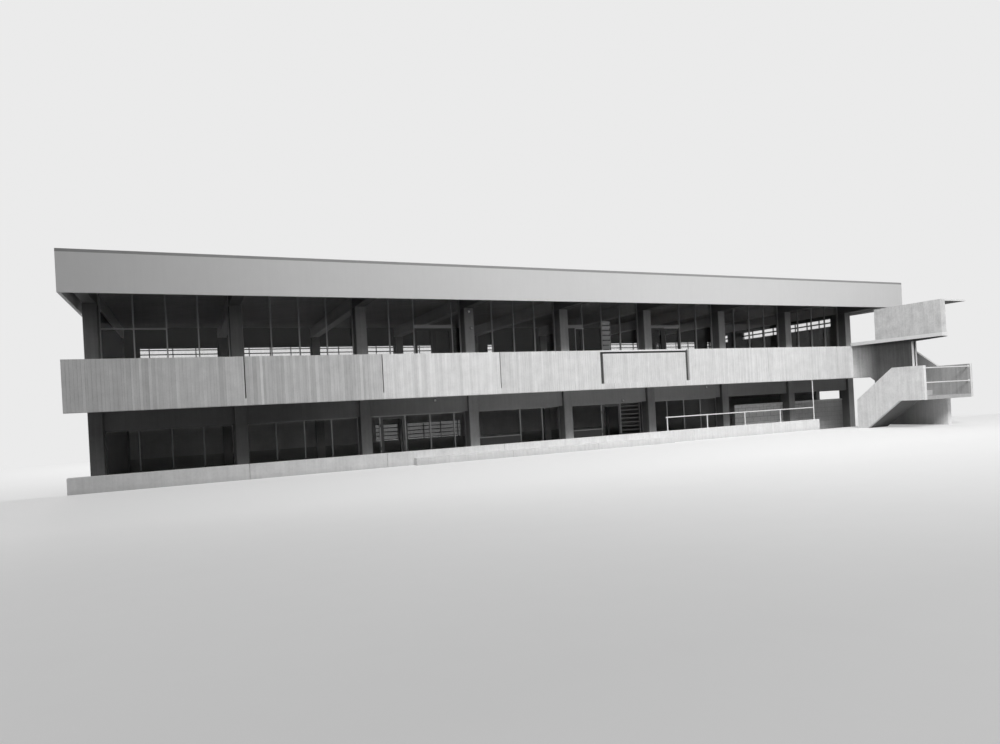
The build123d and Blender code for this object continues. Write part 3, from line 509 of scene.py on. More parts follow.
# The screen under the gallery has paler blocks and mortar than the other walls, and is darker towards its
# right end: painted light and painted shade.
SCREEN_BLOCKS = finish("screen blockwork", 0.95, 0.85, 0.16, 0.5, 0.06,
                       (X, FIRST_LINE + 25.5, FIRST_LINE + 26.5, 1.0, 0.62))
SCREEN_MORTAR = finish("screen mortar", 0.42, 0.9, 0.12, 0.4, 0.0)
# Dark mortar in the joints; the same dark grey on the inner faces of the walls is painted shade, and it is
# lighter on the lower storey: painted light.
MORTAR_AND_SHADE = finish("mortar, and inner walls with painted shade", 0.12, 0.9, 0.08, 0.4, 0.0, (*BELOW, 3.0, 1.0))
RAIL_PAINT = finish("white rail paint", 0.82, 0.35, 0.03, 0.4, 0.02, relief=0.0002)
STEEL = finish("dull steel", 0.45, 0.35, 0.06, 0.2, 0.0, metal=0.9, relief=0.0002)
# Rubber of the step nosings; the joint packing has the same dark grey as painted shade.
RUBBER_AND_SHADE = finish("ribbed nosing rubber and painted shade", 0.06, 0.7, 0.10, 0.2, 0.0, relief=0.0004)
DARK_BLADE = finish("louvre edge strip", 0.03, 0.5, 0.05, 0.4, 0.0, relief=0.0002)
OPAL = finish("opal lamp glass", 0.80, 0.3, 0.02, 0.3, 0.0, relief=0.0)
print(len(bpy.data.materials), "materials so far")

# %% [markdown]
# Window glass is clear, with a faint film of dirt. The louvre glass of the lower floor is
# reeded, so it is rough and passes less light. Reeds could be modelled one by one, but
# from outside they only blur what is behind, and roughness does the same. The index is
# lower than that of real glass, so that the panes mirror less of the plain studio sky.

# %% Glass
def glass_finish(name, grey, rough):
    """Clear glass with a faint uneven film, so the panes aren't all alike."""
    material, w, shader = plain_material(name)
    film = w.group(MOTTLE, Size=1.5, Strength=0.04, Streaks=0.03)
    shade = w.maths("MULTIPLY", film["Tone"], grey)
    w.put(w.point(shade, shade, shade), shader["Base Color"])
    w.put(w.stretch(film["Tone"], 0.8, 1.2, rough, rough + 0.02), shader["Roughness"])
    shader["Transmission Weight"].default_value = 1.0
    shader["IOR"].default_value = 1.22
    return material


GLASS = glass_finish("window glass", 0.93, 0.0)
REEDED_GLASS = glass_finish("reeded louvre glass", 0.22, 0.3)
print(len(bpy.data.materials), "materials")

# %% [markdown]
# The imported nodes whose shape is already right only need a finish. It could be set beside
# each piece, but in one table a node without a finish is easy to find.

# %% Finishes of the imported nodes
NODE_FINISHES = {
    STAIR_CONCRETE: ["gallery_end_panels", "stair_left_wall"],
    SUPPORT_CONCRETE: ["stair_support_wall"],
    FLIGHT_CONCRETE: ["stair_lower_flight", "stair_upper_flight"],
    LANDING_CONCRETE: ["half_landing"],
    GUARD_CONCRETE: ["stair_right_wall"],
    SPINE_SHADE_CONCRETE: ["stair_spine_wall"],
    HOOD_CONCRETE: ["hood_panel"],
    EDGE_CONCRETE: ["hood_slab"],
    HOOD_PLATE: ["hood_roof"],
    SHADED_CONCRETE: ["front_floor_beams", "rear_floor_beams", "cross_floor_beams"],
    FLOOR_CONCRETE: ["ground_floor_slab", "upper_floor_slab"],
    ROOF_BEAM: ["roof_beams"],
    SOFFIT: ["roof_deck"],
    FASCIA: ["front_fascia", "rear_fascia", "side_fascias"],
    FRAME_METAL: ["upper_front_frames"],
    ALUMINIUM: ["lower_front_frames", "rear_window_frames", "clerestory_frame"],
    DARK_METAL: ["upper_doors"],
    DOOR_METAL: ["lower_door_1", "lower_door_2", "lower_door_hinges"],
    GLASS: ["upper_front_glass", "lower_front_glass", "rear_window_glass", "clerestory_glass",
            "lower_door_1_glass", "lower_door_2_glass"],
    MORTAR_AND_SHADE: ["rear_walls", "left_end_wall", "right_end_wall", "undercroft_side_wall"],
    SCREEN_MORTAR: ["undercroft_screen"],
    RAIL_PAINT: ["area_handrail", "landing_railing"],
}


for material, names in NODE_FINISHES.items():
    for name in names:
        give(nodes[name], material)
print(sum(len(names) for names in NODE_FINISHES.values()), "nodes keep their shape")

# %% [markdown]
# Much of a building is blocks with a small chamfer on each edge, which catches the light.
# A Bevel modifier could cut the edges of a box, but the corners are easy to work out, and
# then a whole row is one light mesh. `blocks` makes such a row from boxes written as on a
# drawing. `plates` does the same for flat parts that share one depth, such as boards and
# sills.

# %% Chamfered blocks
def blocks(name, boxes, edge, material, replaced=(), body="building"):
    """Chamfered blocks as one piece. A box is (x0, x1, y0, y1, z0, z1) in grid metres."""
    boxes = np.array(boxes, float)
    return carried(name, chamfered(boxes[:, ::2], boxes[:, 1::2], edge), material, body, replaced)


def plates(name, y0, y1, rectangles, edge, material, body="building"):
    """Blocks between two depths, from rectangles (x0, x1, z0, z1) as seen from the front."""
    boxes = [(x0, x1, y0, y1, z0, z1) for x0, x1, z0, z1 in rectangles]
    blocks(name, boxes, edge, material, body=body)


def write_on_points(obj, name, values):
    """Keep one number for each point on the mesh, for its material to read."""
    obj.data.attributes.new(name, "FLOAT", "POINT").data.foreach_set("value", values)


# %% [markdown]
# The gallery panels were cast against rough boards from 50 to 100 mm wide. Each board
# left a face a little proud or deep of its neighbour, and a thin line between. A bump
# texture could show them, but only real steps give the light an edge to catch. A panel is
# a cross-section in depth and height, carried along the front. At each board the front of
# the section moves by that board's own depth. The edge beam under the panels uses the
# same boards and tones, so the marks run on through both, as they do on the real one, and
# the open joints between the panels stop at its top.

# %% Board layout
LEFT_END, RIGHT_END = -0.4, BAY * BAYS + 0.4
JOINT_HALF, JOINT_DEPTH, BOARD_PLAY = 0.0025, 0.004, 0.004
NARROW, WIDE, TONE_SPREAD, JOINT_TONE = 0.05, 0.10, 0.035, 0.8
chance = np.random.default_rng(74)
board_edges = LEFT_END + np.cumsum(np.r_[0.0, chance.uniform(NARROW, WIDE, 440)])
board_edges = board_edges[board_edges < RIGHT_END]
board_edges = np.r_[board_edges, RIGHT_END + NARROW]
board_depth = chance.uniform(0.0, BOARD_PLAY, len(board_edges) - 1)
board_tone = 1.0 + chance.normal(0.0, TONE_SPREAD, len(board_edges) - 1)


def board_stations(x0, x1):
    """Places along the front where its face changes, with the depth and tone at each.

    Each board gives its two edges, at its own depth, and a joint point between boards
    that is set deeper and darker.
    """
    first = np.searchsorted(board_edges, x0, "right") - 1
    last = np.searchsorted(board_edges, x1, "left") - 1
    index = np.arange(first, last + 1)
    starts = np.maximum(board_edges[index] + JOINT_HALF, x0)
    ends = np.minimum(board_edges[index + 1] - JOINT_HALF, x1)
    depth, tone = board_depth[index], board_tone[index]
    joints = np.minimum(board_edges[index + 1], x1)
    x = np.stack([starts, ends, joints], 1).ravel()[:-1]
    between = np.maximum(depth, np.roll(depth, -1)) + JOINT_DEPTH
    y = np.stack([depth, depth, between], 1).ravel()[:-1]
    t = np.stack([tone, tone, tone * JOINT_TONE], 1).ravel()[:-1]
    keep = np.r_[True, np.diff(x) > 1e-5]
    return x[keep], y[keep], t[keep]


def board_face(name, x0, x1, section, node, tone=1.0, marks=1.0):
    """Carry a section along the front; its marked points move in with the boards.

    The section is rows of (y, z, moves), in order from front bottom round to the rear.
    `tone` is the panel's own tone, and `marks` says how much its boards differ.
    """
    x, push, shade = board_stations(x0, x1)
    section = np.asarray(section, float)
    rings = np.empty((len(x), len(section), 3))
    rings[:, :, 0] = x[:, None]
    rings[:, :, 1] = section[:, 0] + push[:, None] * section[:, 2]
    rings[:, :, 2] = section[:, 1]
    obj = carried(name, rings, GALLERY_CONCRETE, replaced=[node])
    write_on_points(obj, "board_tone", np.repeat((1.0 + (shade - 1.0) * marks) * tone, len(section)))


print("boards along the front:", len(board_depth))

# %% [markdown]
# One panel fills each bay between two open joints. The fifth is set back under a cap of
# its own, with wider joints, so it is made apart. All panels could share one tone, but
# each was cast by itself, so each has its own tone here, and its boards show more or
# less.

# %% Gallery panels
PANEL, SIDE_CUT = 0.15, 0.008
PANEL_TOP = UPPER_FLOOR + 1.0
PANEL_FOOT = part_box("balustrade_panels")[0].z
SPINE_LEFT = grid_box("stair_spine_wall")[0][0]
STAIR_RIGHT = grid_box("stair_right_wall")[1][0]
RECESSED, RECESS, RECESS_CAP, CAP_GAP = 4, 0.06, 0.05, 0.06
JOINTS = {line: (line * BAY - half, line * BAY + half)
          for line, half in ((1, 0.015), (2, 0.015), (3, 0.015), (6, 0.009), (7, 0.009))}
for line, corner, gap in zip((RECESSED, RECESSED + 1), grid_box("recessed_panel"), (0.15, 0.11)):
    JOINTS[line] = (corner[0], corner[0] + gap)
PANEL_LOOKS = ((0.96, 1.8), (0.93, 2.0), (1.22, 1.1), (1.08, 0.9), (1.0, 0.7), (1.03, 0.8),
               (1.05, 0.9), (1.05, 0.9))


def panel_section(front, top):
    """An upright panel's section, with cut corners at its top and a sharp foot."""
    return [(front, PANEL_FOOT, 1), (PANEL, PANEL_FOOT, 0), (PANEL, top - SIDE_CUT, 0),
            (PANEL - SIDE_CUT, top, 0), (front + SIDE_CUT, top, 1), (front, top - SIDE_CUT, 1)]


def panel_ends(bay):
    """Left and right end of the panel of a bay, between its two open joints."""
    return (LEFT_END if bay == 0 else JOINTS[bay][1],
            SPINE_LEFT if bay == BAYS - 1 else JOINTS[bay + 1][0])


cap_foot = PANEL_TOP - RECESS_CAP
for bay, looks in enumerate(PANEL_LOOKS):
    x0, x1 = panel_ends(bay)
    if bay == RECESSED:
        board_face("recessed_panel_face", x0, x1, panel_section(RECESS, cap_foot - CAP_GAP),
                   "recessed_panel", *looks)
        blocks("recessed_panel_cap", [(JOINTS[bay][0], x1, 0.0, PANEL, cap_foot, PANEL_TOP)], 0.006,
               EDGE_CONCRETE, ["recessed_panel"])
    else:
        board_face(f"gallery_panel_{bay + 1}", x0, x1, panel_section(0.0, PANEL_TOP),
                   "balustrade_panels", *looks)
board_face("gallery_panel_9", STAIR_RIGHT, RIGHT_END, panel_section(0.0, PANEL_TOP), "balustrade_panels")
print("open joints:", {line: round(x1 - x0, 3) for line, (x0, x1) in JOINTS.items()})

# %% [markdown]
# The edge beam carries the panels in a notch. A groove under its front edge makes rain
# drip off before it runs back to the columns. It could be a plain block, but its section
# costs only a few more points, and the notch has to fit the feet of the panels.

# %% Edge beam
BEAM_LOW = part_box("gallery_edge_beam")[0].z
EDGE_BEAM, DRIP, GROOVE_NEAR, GROOVE_FAR, SLOPE = 0.2, 0.015, 0.04, 0.065, 0.005


def beam_section(notched):
    """The beam's section, with a drip groove below; the notch holds the panels' feet."""
    points = [(0.0, BEAM_LOW + DRIP, 1), (DRIP, BEAM_LOW, 0), (GROOVE_NEAR, BEAM_LOW, 0),
              (GROOVE_NEAR + SLOPE, BEAM_LOW + DRIP, 0), (GROOVE_FAR - SLOPE, BEAM_LOW + DRIP, 0),
              (GROOVE_FAR, BEAM_LOW, 0), (EDGE_BEAM, BEAM_LOW, 0), (EDGE_BEAM, UPPER_FLOOR, 0)]
    if notched:
        return points + [(PANEL, UPPER_FLOOR, 0), (PANEL, PANEL_FOOT, 0), (0.0, PANEL_FOOT, 1)]
    return points + [(0.0, UPPER_FLOOR, 1)]


edges = [LEFT_END, *[sum(JOINTS[line]) / 2 for line in range(1, BAYS)], SPINE_LEFT]
for bay, looks in enumerate(PANEL_LOOKS):
    board_face(f"gallery_beam_face_{bay + 1}", edges[bay], edges[bay + 1], beam_section(True),
               "gallery_edge_beam", *looks)
board_face("gallery_beam_face_stair", SPINE_LEFT, STAIR_RIGHT, beam_section(False), "gallery_edge_beam")
board_face("gallery_beam_face_end", STAIR_RIGHT, RIGHT_END, beam_section(True), "gallery_edge_beam")

# %% [markdown]
# The open joints aren't see-through: a dark packing is set back in each, and one more
# fills the gap under the cap of the panel that is set back. Its dark grey stands for the
# shade deep in these gaps: painted shade. A dark line painted on the wall could stand for
# a joint, but from the side a real joint shows its depth.

# %% Packing of the open joints
PACKING_FRONT, PACKING_SLACK, PACKING_LOW = 0.10, 0.001, 0.02
packing = [(x0 + PACKING_SLACK, x1 - PACKING_SLACK, PANEL_FOOT, PANEL_TOP - PACKING_LOW)
           for x0, x1 in JOINTS.values()]
packing.append((*panel_ends(RECESSED), cap_foot - CAP_GAP, cap_foot))
# The dark packing in the joints is painted shade.
plates("joint_shade_packing", PACKING_FRONT, PANEL, packing, 0.001, RUBBER_AND_SHADE)
print("packed gaps:", len(packing))

# %% [markdown]
# The columns of both storeys stand on the grid lines. Those near the stair get more light
# from the pale walls there. A lamp for each could show that, but it would light the
# panels too, so that light is painted into a tone for each column, written on its points,
# and its material reads it. The low wall and its step are cast in lengths, with open
# joints between them.

# %% Columns, low wall and step
COLUMN_DEPTH = 0.55
COLUMN_FRONT, REAR_COLUMN = grid_box("front_columns")[0][1], grid_box("rear_columns")[0][1]
BEAM_UNDER, SLAB_UNDER = (corner.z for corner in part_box("front_floor_beams"))
ROOF_BEAM_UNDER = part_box("roof_beams")[0].z
LOWER_PAINTED_LIGHT = (0.3, 0.37, 0.62, 1.1, 1.12, 0.8, 0.7, 0.75, 0.9)
UPPER_PAINTED_LIGHT = (1.0, 1.15, 2.0, 2.5, 2.6, 2.6, 2.6, 2.6, 2.6)
tones = np.stack([LOWER_PAINTED_LIGHT, UPPER_PAINTED_LIGHT], 1).ravel()
for name, front in (("front_columns", COLUMN_FRONT), ("rear_columns", REAR_COLUMN)):
    boxes = [(line * BAY - COLUMN_HALF, line * BAY + COLUMN_HALF, front, front + COLUMN_DEPTH, z0, z1)
             for line in range(BAYS + 1)
             for z0, z1 in ((GROUND_FLOOR, SLAB_UNDER), (UPPER_FLOOR, ROOF_BEAM_UNDER))]
    cast = blocks(name + "_cast", boxes, 0.015, COLUMN_CONCRETE, [name])
    write_on_points(cast, "column_painted_light", np.repeat(tones, len(cast.data.vertices) // len(tones)))

WALL_JOINT, WALL_THICK, STEP_OUT = 0.006, 0.2, 0.3


def cast_lengths(name, cuts, y0, y1, node):
    """A low wall in lengths between the cuts, with an open joint at each cut."""
    half, top = WALL_JOINT / 2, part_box(node)[1].z
    boxes = [(a + half, b - half, y0, y1, 0.0, top) for a, b in zip(cuts[:-1], cuts[1:])]
    blocks(name, boxes, 0.012, WALL_TOP, [node])


wall_end, _, WALL_HEIGHT = grid_box("area_wall")[1]
cast_lengths("low_wall_lengths", np.r_[LEFT_END, np.arange(1, 7) * BAY, wall_end], 0.0, WALL_THICK,
             "area_wall")
step_ends = [corner[0] for corner in grid_box("area_plinth")]
cast_lengths("low_wall_step", np.linspace(*step_ends, 4), -STEP_OUT, 0.0, "area_plinth")
print("columns:", len(tones), "a side, low wall to", round(WALL_HEIGHT, 3))

# %% [markdown]
# The metal cap on the fascia is folded sheet with a top that falls inwards. Four straight
# lengths could be cut to meet, but one section carried round the four corners of the roof
# makes each corner a true mitre. The roof itself is ribbed sheet, laid between the
# fascias, and its ribs are one more section carried along.

# %% Roof edge and sheets
CAP_SECTION = np.array([(0.0, 0.0), (0.09, 0.0), (0.09, 0.062), (0.012, 0.08), (0.0, 0.074)])
cap_low, cap_high = grid_box("roof_capping")
turn = np.array([(0, 0), (1, 0), (1, 1), (0, 1)])
corners, inward = np.where(turn, cap_high[:2], cap_low[:2]), 1 - 2 * turn
rings = np.empty((4, len(CAP_SECTION), 3))
rings[:, :, :2] = corners[:, None] + inward[:, None] * CAP_SECTION[None, :, :1]
rings[:, :, 2] = cap_low[2] + CAP_SECTION[:, 1]
carried("fascia_cap", rings, CAPPING, replaced=["roof_capping"], closed=True)

SHEET, SHEET_EDGE, RIB_PITCH = 0.006, 0.01, 0.2
RIB = np.array([(-0.024, 0.0), (-0.010, 0.038), (0.010, 0.038), (0.024, 0.0)])
(x0, y0, _), (x1, y1, deck_top) = grid_box("roof_deck")
blocks("roof_sheet", [(x0 + SHEET_EDGE, x1 - SHEET_EDGE, y0 + SHEET_EDGE, y1 - SHEET_EDGE, deck_top,
                       deck_top + SHEET)], 0.001, ROOFING)
rib_x = np.arange(x0 + 0.12, x1 - 0.1, RIB_PITCH)
rings = np.empty((len(rib_x), 2, 4, 3))
rings[..., 0] = rib_x[:, None, None] + RIB[:, 0]
rings[..., 1] = np.array([y0 + 0.05, y1 - 0.12])[None, :, None]
rings[..., 2] = deck_top + 0.005 + RIB[:, 1]
carried("roof_ribs", rings, ROOFING)
print("roof ribs:", len(rib_x))

# %% [markdown]
# The end walls, the spandrels at the rear and the screen in the undercroft are blockwork.
# A brick texture could draw it, but it would cut its blocks anywhere. Here each block is
# a low pad with cut edges on the wall face, in courses of 200 mm and half bond. The rows
# are cut where they meet an opening. The wall behind shows as the joints.

# %% Blockwork
COURSE, BLOCK, MORTAR_GAP, PAD, PAD_CUT, LEAST = 0.2, 0.4, 0.01, 0.006, 0.004, 0.03


def coursed(u0, u1, v0, v1, openings=()):
    """Rectangles of a wall in half bond: (left, right, low, high), cut at the openings."""
    pads = []
    for row, low in enumerate(np.arange(v0, v1 - 0.02, COURSE)):
        high = min(low + COURSE, v1)
        free = [(u0, u1)]
        for a0, a1, b0, b1 in openings:
            if low < b1 - 0.001 and high > b0 + 0.001:
                free = [piece for f0, f1 in free for piece in ((f0, min(f1, a0)), (max(f0, a1), f1))
                        if piece[1] - piece[0] > LEAST]
        starts = np.arange(u0 - (row % 2) * BLOCK / 2, u1, BLOCK)
        for f0, f1 in free:
            lefts, rights = np.maximum(starts, f0), np.minimum(starts + BLOCK, f1)
            pads += [(left, right, low, high) for left, right in zip(lefts, rights) if right - left > LEAST]
    gap = MORTAR_GAP / 2
    return np.array(pads) + np.array([gap, -gap, gap, -gap])


def pads_on(name, rectangles, axis, plane, side, material=BLOCKWORK):
    """Pads on an upright wall face: rings of four points, full size at the wall and cut in
    by the chamfer at the front. `axis` is 0 for a face across x and 1 for one across y."""
    left, right, low, high = rectangles.T
    rings = np.empty((len(rectangles), 2, 4, 3))
    for station, (cut, out) in enumerate(((0.0, -0.001), (PAD_CUT, PAD))):
        u = np.stack([left + cut, right - cut, right - cut, left + cut], 1)
        v = np.stack([low + cut, low + cut, high - cut, high - cut], 1)
        rings[:, station, :, axis] = plane + side * out
        rings[:, station, :, 1 - axis] = u
        rings[:, station, :, 2] = v
    if (axis == 0) != (side > 0):
        rings = rings[:, :, ::-1]
    carried(name, rings, material)


# %% [markdown]
# Each wall is a list of rectangles, and `pads_on` lays its blocks on one face. A wall
# could have blocks on both faces, but only the faces that show get them: the outside of
# the end walls and of the rear, both sides of the screen, and what shows inside the
# undercroft.

# %% Walls of blockwork
WALL_HALF, END_OPENING = 0.1, 1.4
COLUMN_BACK = COLUMN_FRONT + COLUMN_DEPTH
CLERE_LOW, CLERE_HIGH = (corner.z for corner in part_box("clerestory_frame"))
HIGH_WINDOWS = [(3.45, 9.5, CLERE_LOW, CLERE_HIGH), (10.65, 11.45, CLERE_LOW, CLERE_HIGH)]
REAR_FACE = grid_box("rear_walls")[1][1]
REAR_SILLS = (GROUND_FLOOR + 0.9, UPPER_FLOOR + 0.9)
REAR_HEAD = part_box("rear_window_frames")[1].z
right_face = BAYS * BAY + WALL_HALF
upper = coursed(COLUMN_BACK, REAR_COLUMN, UPPER_FLOOR, ROOF_BEAM_UNDER)
upper_right = coursed(COLUMN_BACK, REAR_COLUMN, UPPER_FLOOR, ROOF_BEAM_UNDER, HIGH_WINDOWS)
lower = coursed(COLUMN_BACK, REAR_COLUMN, GROUND_FLOOR, BEAM_UNDER)
lower_right = coursed(COLUMN_BACK + END_OPENING, REAR_COLUMN, GROUND_FLOOR, BEAM_UNDER)
pads_on("right_wall_blocks", np.r_[upper_right, lower_right], 0, right_face, 1)
pads_on("undercroft_end_blocks", lower_right, 0, right_face - 2 * WALL_HALF, -1)
pads_on("left_wall_blocks", np.r_[upper, lower], 0, -WALL_HALF, -1)
pads_on("undercroft_side_blocks", lower, 0, 6 * BAY + WALL_HALF, 1)
spandrels = [coursed(a, b, floor, sill) for a, b in BAY_EDGES
             for floor, sill in zip((GROUND_FLOOR, UPPER_FLOOR), REAR_SILLS)]
pads_on("rear_spandrel_blocks", np.concatenate(spandrels), 1, REAR_FACE, 1)
screen_low, screen_high = grid_box("undercroft_screen")
screen_spans = [(screen_low[0], BAY_EDGES[6][1]), BAY_EDGES[7]]
screen = np.concatenate([coursed(a, b, GROUND_FLOOR, screen_high[2]) for a, b in screen_spans])
pads_on("screen_blocks_front", screen, 1, screen_low[1], -1, SCREEN_BLOCKS)
pads_on("screen_blocks_rear", screen, 1, screen_high[1], 1, SCREEN_BLOCKS)

# %% [markdown]
# The rear windows are banks of glass louvres between the posts. A louvre blade is a thin
# strip carried along its pane, tilted so that the lower edge stands outside, with a dark
# edge strip at each lap. A pane with lines on it could stand for a bank, but against the
# sky the laps show as dark lines and the glass between them as bright ones, which needs
# true blades. The same blades, wider and obscured, fill one narrow sash of the front.

# %% Louvres
def strips(x0, x1, y, z, height, thick, tilt):
    """Rings of strips along x: a rectangle in depth and height, turned by the tilt."""
    x0, x1, y, z = np.broadcast_arrays(*map(np.atleast_1d, (x0, x1, y, z)))
    square = np.array([(-0.5, -0.5), (0.5, -0.5), (0.5, 0.5), (-0.5, 0.5)]) * (thick, height)
    turn = np.array([(math.cos(tilt), -math.sin(tilt)), (math.sin(tilt), math.cos(tilt))])
    section = square @ turn
    rings = np.empty((len(x0), 2, 4, 3))
    rings[:, 0, :, 0], rings[:, 1, :, 0] = x0[:, None], x1[:, None]
    rings[..., 1] = y[:, None, None] + section[:, 0]
    rings[..., 2] = z[:, None, None] + section[:, 1]
    return rings


LAP, TOP_STRIP, FRAME_BAR, PANES = 0.175, 0.095, 0.035, 4
REAR_TILT, FRONT_TILT, LOWER_TILT = math.radians(-14), math.radians(-25), math.radians(-70)
REAR_BLADE = grid_box("rear_window_frames")[0][1] + 0.04
blades = []
for x0, x1 in BAY_EDGES:
    posts = np.linspace(x0, x1, PANES + 1)
    for storey, (sill, head) in enumerate(zip(REAR_SILLS, (BEAM_UNDER, REAR_HEAD))):
        heights = np.arange(head - TOP_STRIP, sill + FRAME_BAR, -LAP)
        for pane in range(PANES):
            a = posts[pane] + FRAME_BAR * (1.0 if pane == 0 else 0.5)
            b = posts[pane + 1] - FRAME_BAR * (1.0 if pane == PANES - 1 else 0.5)
            blades += [(a, b, z, storey, row > 0) for row, z in enumerate(heights)]
left, right, laps, storey, whole = np.array(blades).T
for name, level, glass in (("rear_upper_louvre_blades", 1, GLASS),
                           ("rear_lower_louvre_blades", 0, REEDED_GLASS)):
    here = (storey == level) & (whole == 1)
    carried(name, strips(left[here], right[here], REAR_BLADE, laps[here] + LAP / 2 - 0.01,
                         LAP + 0.015, 0.006, REAR_TILT), glass)
carried("rear_louvre_laps", strips(left, right, REAR_BLADE, laps, 0.042, 0.012, 0.0), DARK_BLADE)
SASH_LEFT, SASH_RIGHT, SASH_TOP, SASH_BAR = 16.67, 17.02, 5.37, 0.02
sash_rows = np.arange(UPPER_FLOOR + 0.14, SASH_TOP - 0.05, 0.19)
carried("gallery_louvre_blades", strips(SASH_LEFT, SASH_RIGHT, GLAZING + 0.03, sash_rows + 0.06,
                                        0.15, 0.006, FRONT_TILT), OPAL)
plates("gallery_louvre_sash", GLAZING + 0.005, GLAZING + 0.07,
       [(SASH_LEFT - SASH_BAR, SASH_LEFT, UPPER_FLOOR + 0.05, SASH_TOP),
        (SASH_RIGHT, SASH_RIGHT + SASH_BAR, UPPER_FLOOR + 0.05, SASH_TOP),
        (SASH_LEFT - SASH_BAR, SASH_RIGHT + SASH_BAR, SASH_TOP, SASH_TOP + 0.03)], 0.003, ALUMINIUM)
print("rear louvre blades:", len(blades))

# %% [markdown]
# Over the gallery panels the far windows are bright only in places, because boards and
# shelves stand inside most of them. The glass could be darkened there instead, but it
# only keeps its shine where it stays clear. Each board here is a flat panel just inside
# the glass, from sill to head, and the gaps between boards are where the sky shows.

# %% Boards inside the rear windows
UPPER_BOARDS = ((0.175, 0.70), (3.875, 4.52), (9.05, 9.70), (12.72, 14.20), (14.46, 15.52),
                (15.76, 18.325), (18.675, 22.025), (24.25, 25.50), (28.15, 29.08))
LOWER_BOARDS = ((0.175, 3.525), (3.875, 7.225), (7.575, 9.85), (13.9, 14.625), (14.975, 18.325),
                (18.675, 22.025))
SHORT_BOARD = (9.85, 13.9, 1.86)
BOARD_BACK = grid_box("rear_window_glass")[0][1] - 0.03
boards = [(a, b, REAR_SILLS[1], REAR_HEAD) for a, b in UPPER_BOARDS]
boards += [(a, b, REAR_SILLS[0], BEAM_UNDER) for a, b in LOWER_BOARDS]
boards.append((*SHORT_BOARD, BEAM_UNDER))
plates("rear_window_boards", BOARD_BACK - 0.02, BOARD_BACK, boards, 0.002, INNER_BOARD)
print("boards inside:", len(boards))

# %% [markdown]
# Small parts of the windows: one lower pane is a bank of louvres with bright edges, the
# high windows have a middle bar, and two lower panes are solid under their low rail. They
# could be left out from far away, but each is a line or a dark patch in the photograph,
# and each takes one call.

# %% Small parts of the windows
LOWER_PANE, RAIL_HALF = (17.30, 18.14), 0.03
pane_rows = np.arange(GROUND_FLOOR + 0.12, BEAM_UNDER - 0.08, 0.155)
carried("lower_louvre_blades", strips(*LOWER_PANE, GLAZING + 0.03, pane_rows + 0.02, 0.14, 0.005,
                                      LOWER_TILT), REEDED_GLASS)
carried("lower_louvre_edges", strips(*LOWER_PANE, GLAZING + 0.004, pane_rows, 0.016, 0.008, 0.0),
        ALUMINIUM)
middle, end_x = (CLERE_LOW + CLERE_HIGH) / 2, BAYS * BAY
blocks("high_window_bars",
       [(end_x - RAIL_HALF, end_x + RAIL_HALF, y0, y1, middle - RAIL_HALF, middle + RAIL_HALF)
        for y0, y1, *_ in HIGH_WINDOWS], 0.003, DARK_METAL)
LOW_PANES = ((11.29, 13.0), (14.99, 16.43))
plates("low_rail_panels", GLAZING + 0.02, GLAZING + 0.045,
       [(a, b, GROUND_FLOOR + 0.03, GROUND_FLOOR + 1.15) for a, b in LOW_PANES], 0.002, DOOR_METAL)
print("lower louvres:", len(pane_rows))

# %% [markdown]
# Sills, lintels and the coping of the screen are thin slabs that stand a little proud of
# the blockwork, so that rain drips clear of it. They repeat in every bay, so one call
# with a loop over the bays makes each kind as one piece.

# %% Sills, lintels and coping
plates("rear_sills", REAR_FACE - 0.06, REAR_FACE + 0.045,
       [(a, b, z, z + 0.05) for a, b in BAY_EDGES for z in REAR_SILLS], 0.006, STAIR_CONCRETE)
wall_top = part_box("rear_walls")[1].z
plates("rear_lintels", REAR_FACE - 0.01, REAR_FACE + 0.012,
       [(a, b, REAR_HEAD, wall_top) for a, b in BAY_EDGES], 0.006, STAIR_CONCRETE)
plates("screen_coping", screen_low[1] - 0.02, screen_high[1] + 0.02,
       [(a, b, screen_high[2] - 0.06, screen_high[2] + 0.004) for a, b in screen_spans], 0.006,
       STAIR_CONCRETE)

# %% [markdown]
# Round parts are a circle carried along a line of points. `rods` finds the direction of
# the line at each point, and lays the circle across it. A curve with a round bevel could
# do it as well, but then it would have to be made a mesh. Door pulls, rail flanges and
# the lamp domes are all made so; a dome is a straight rod whose radius changes.

# %% Round parts
def rods(paths, radius, sides):
    """Rings of round bars. Each path is points along the bar; the radius may change along it.

    The circle lies across the direction of the path, on two axes at right angles to it.
    """
    paths = np.asarray(paths, float)
    along = np.gradient(paths, axis=1)
    along /= np.linalg.norm(along, axis=2, keepdims=True)
    helper = np.where(np.abs(along[..., 2:]) > 0.9, (1.0, 0.0, 0.0), (0.0, 0.0, 1.0))
    first = np.cross(along, helper)
    first /= np.linalg.norm(first, axis=2, keepdims=True)
    second = np.cross(along, first)
    angle = np.arange(sides) * 2 * math.pi / sides
    radius = np.broadcast_to(np.asarray(radius, float), paths.shape[1])[None, :, None, None]
    ring = first[:, :, None] * np.cos(angle)[:, None] + second[:, :, None] * np.sin(angle)[:, None]
    return paths[:, :, None] + ring * radius


def pulls(name, places, body="building"):
    """D-shaped pulls: out from the door, up, and back, each starting at its place."""
    shape = np.array([(0, 0, 0), (0, -0.8, 0), (0, -1, 0.06), (0, -1, 0.5), (0, -1, 0.94),
                      (0, -0.8, 1), (0, 0, 1)]) * (1.0, PULL_REACH, PULL_LENGTH)
    carried(name, rods(np.asarray(places)[:, None] + shape, 0.009, 10), STEEL, body, smooth=True)


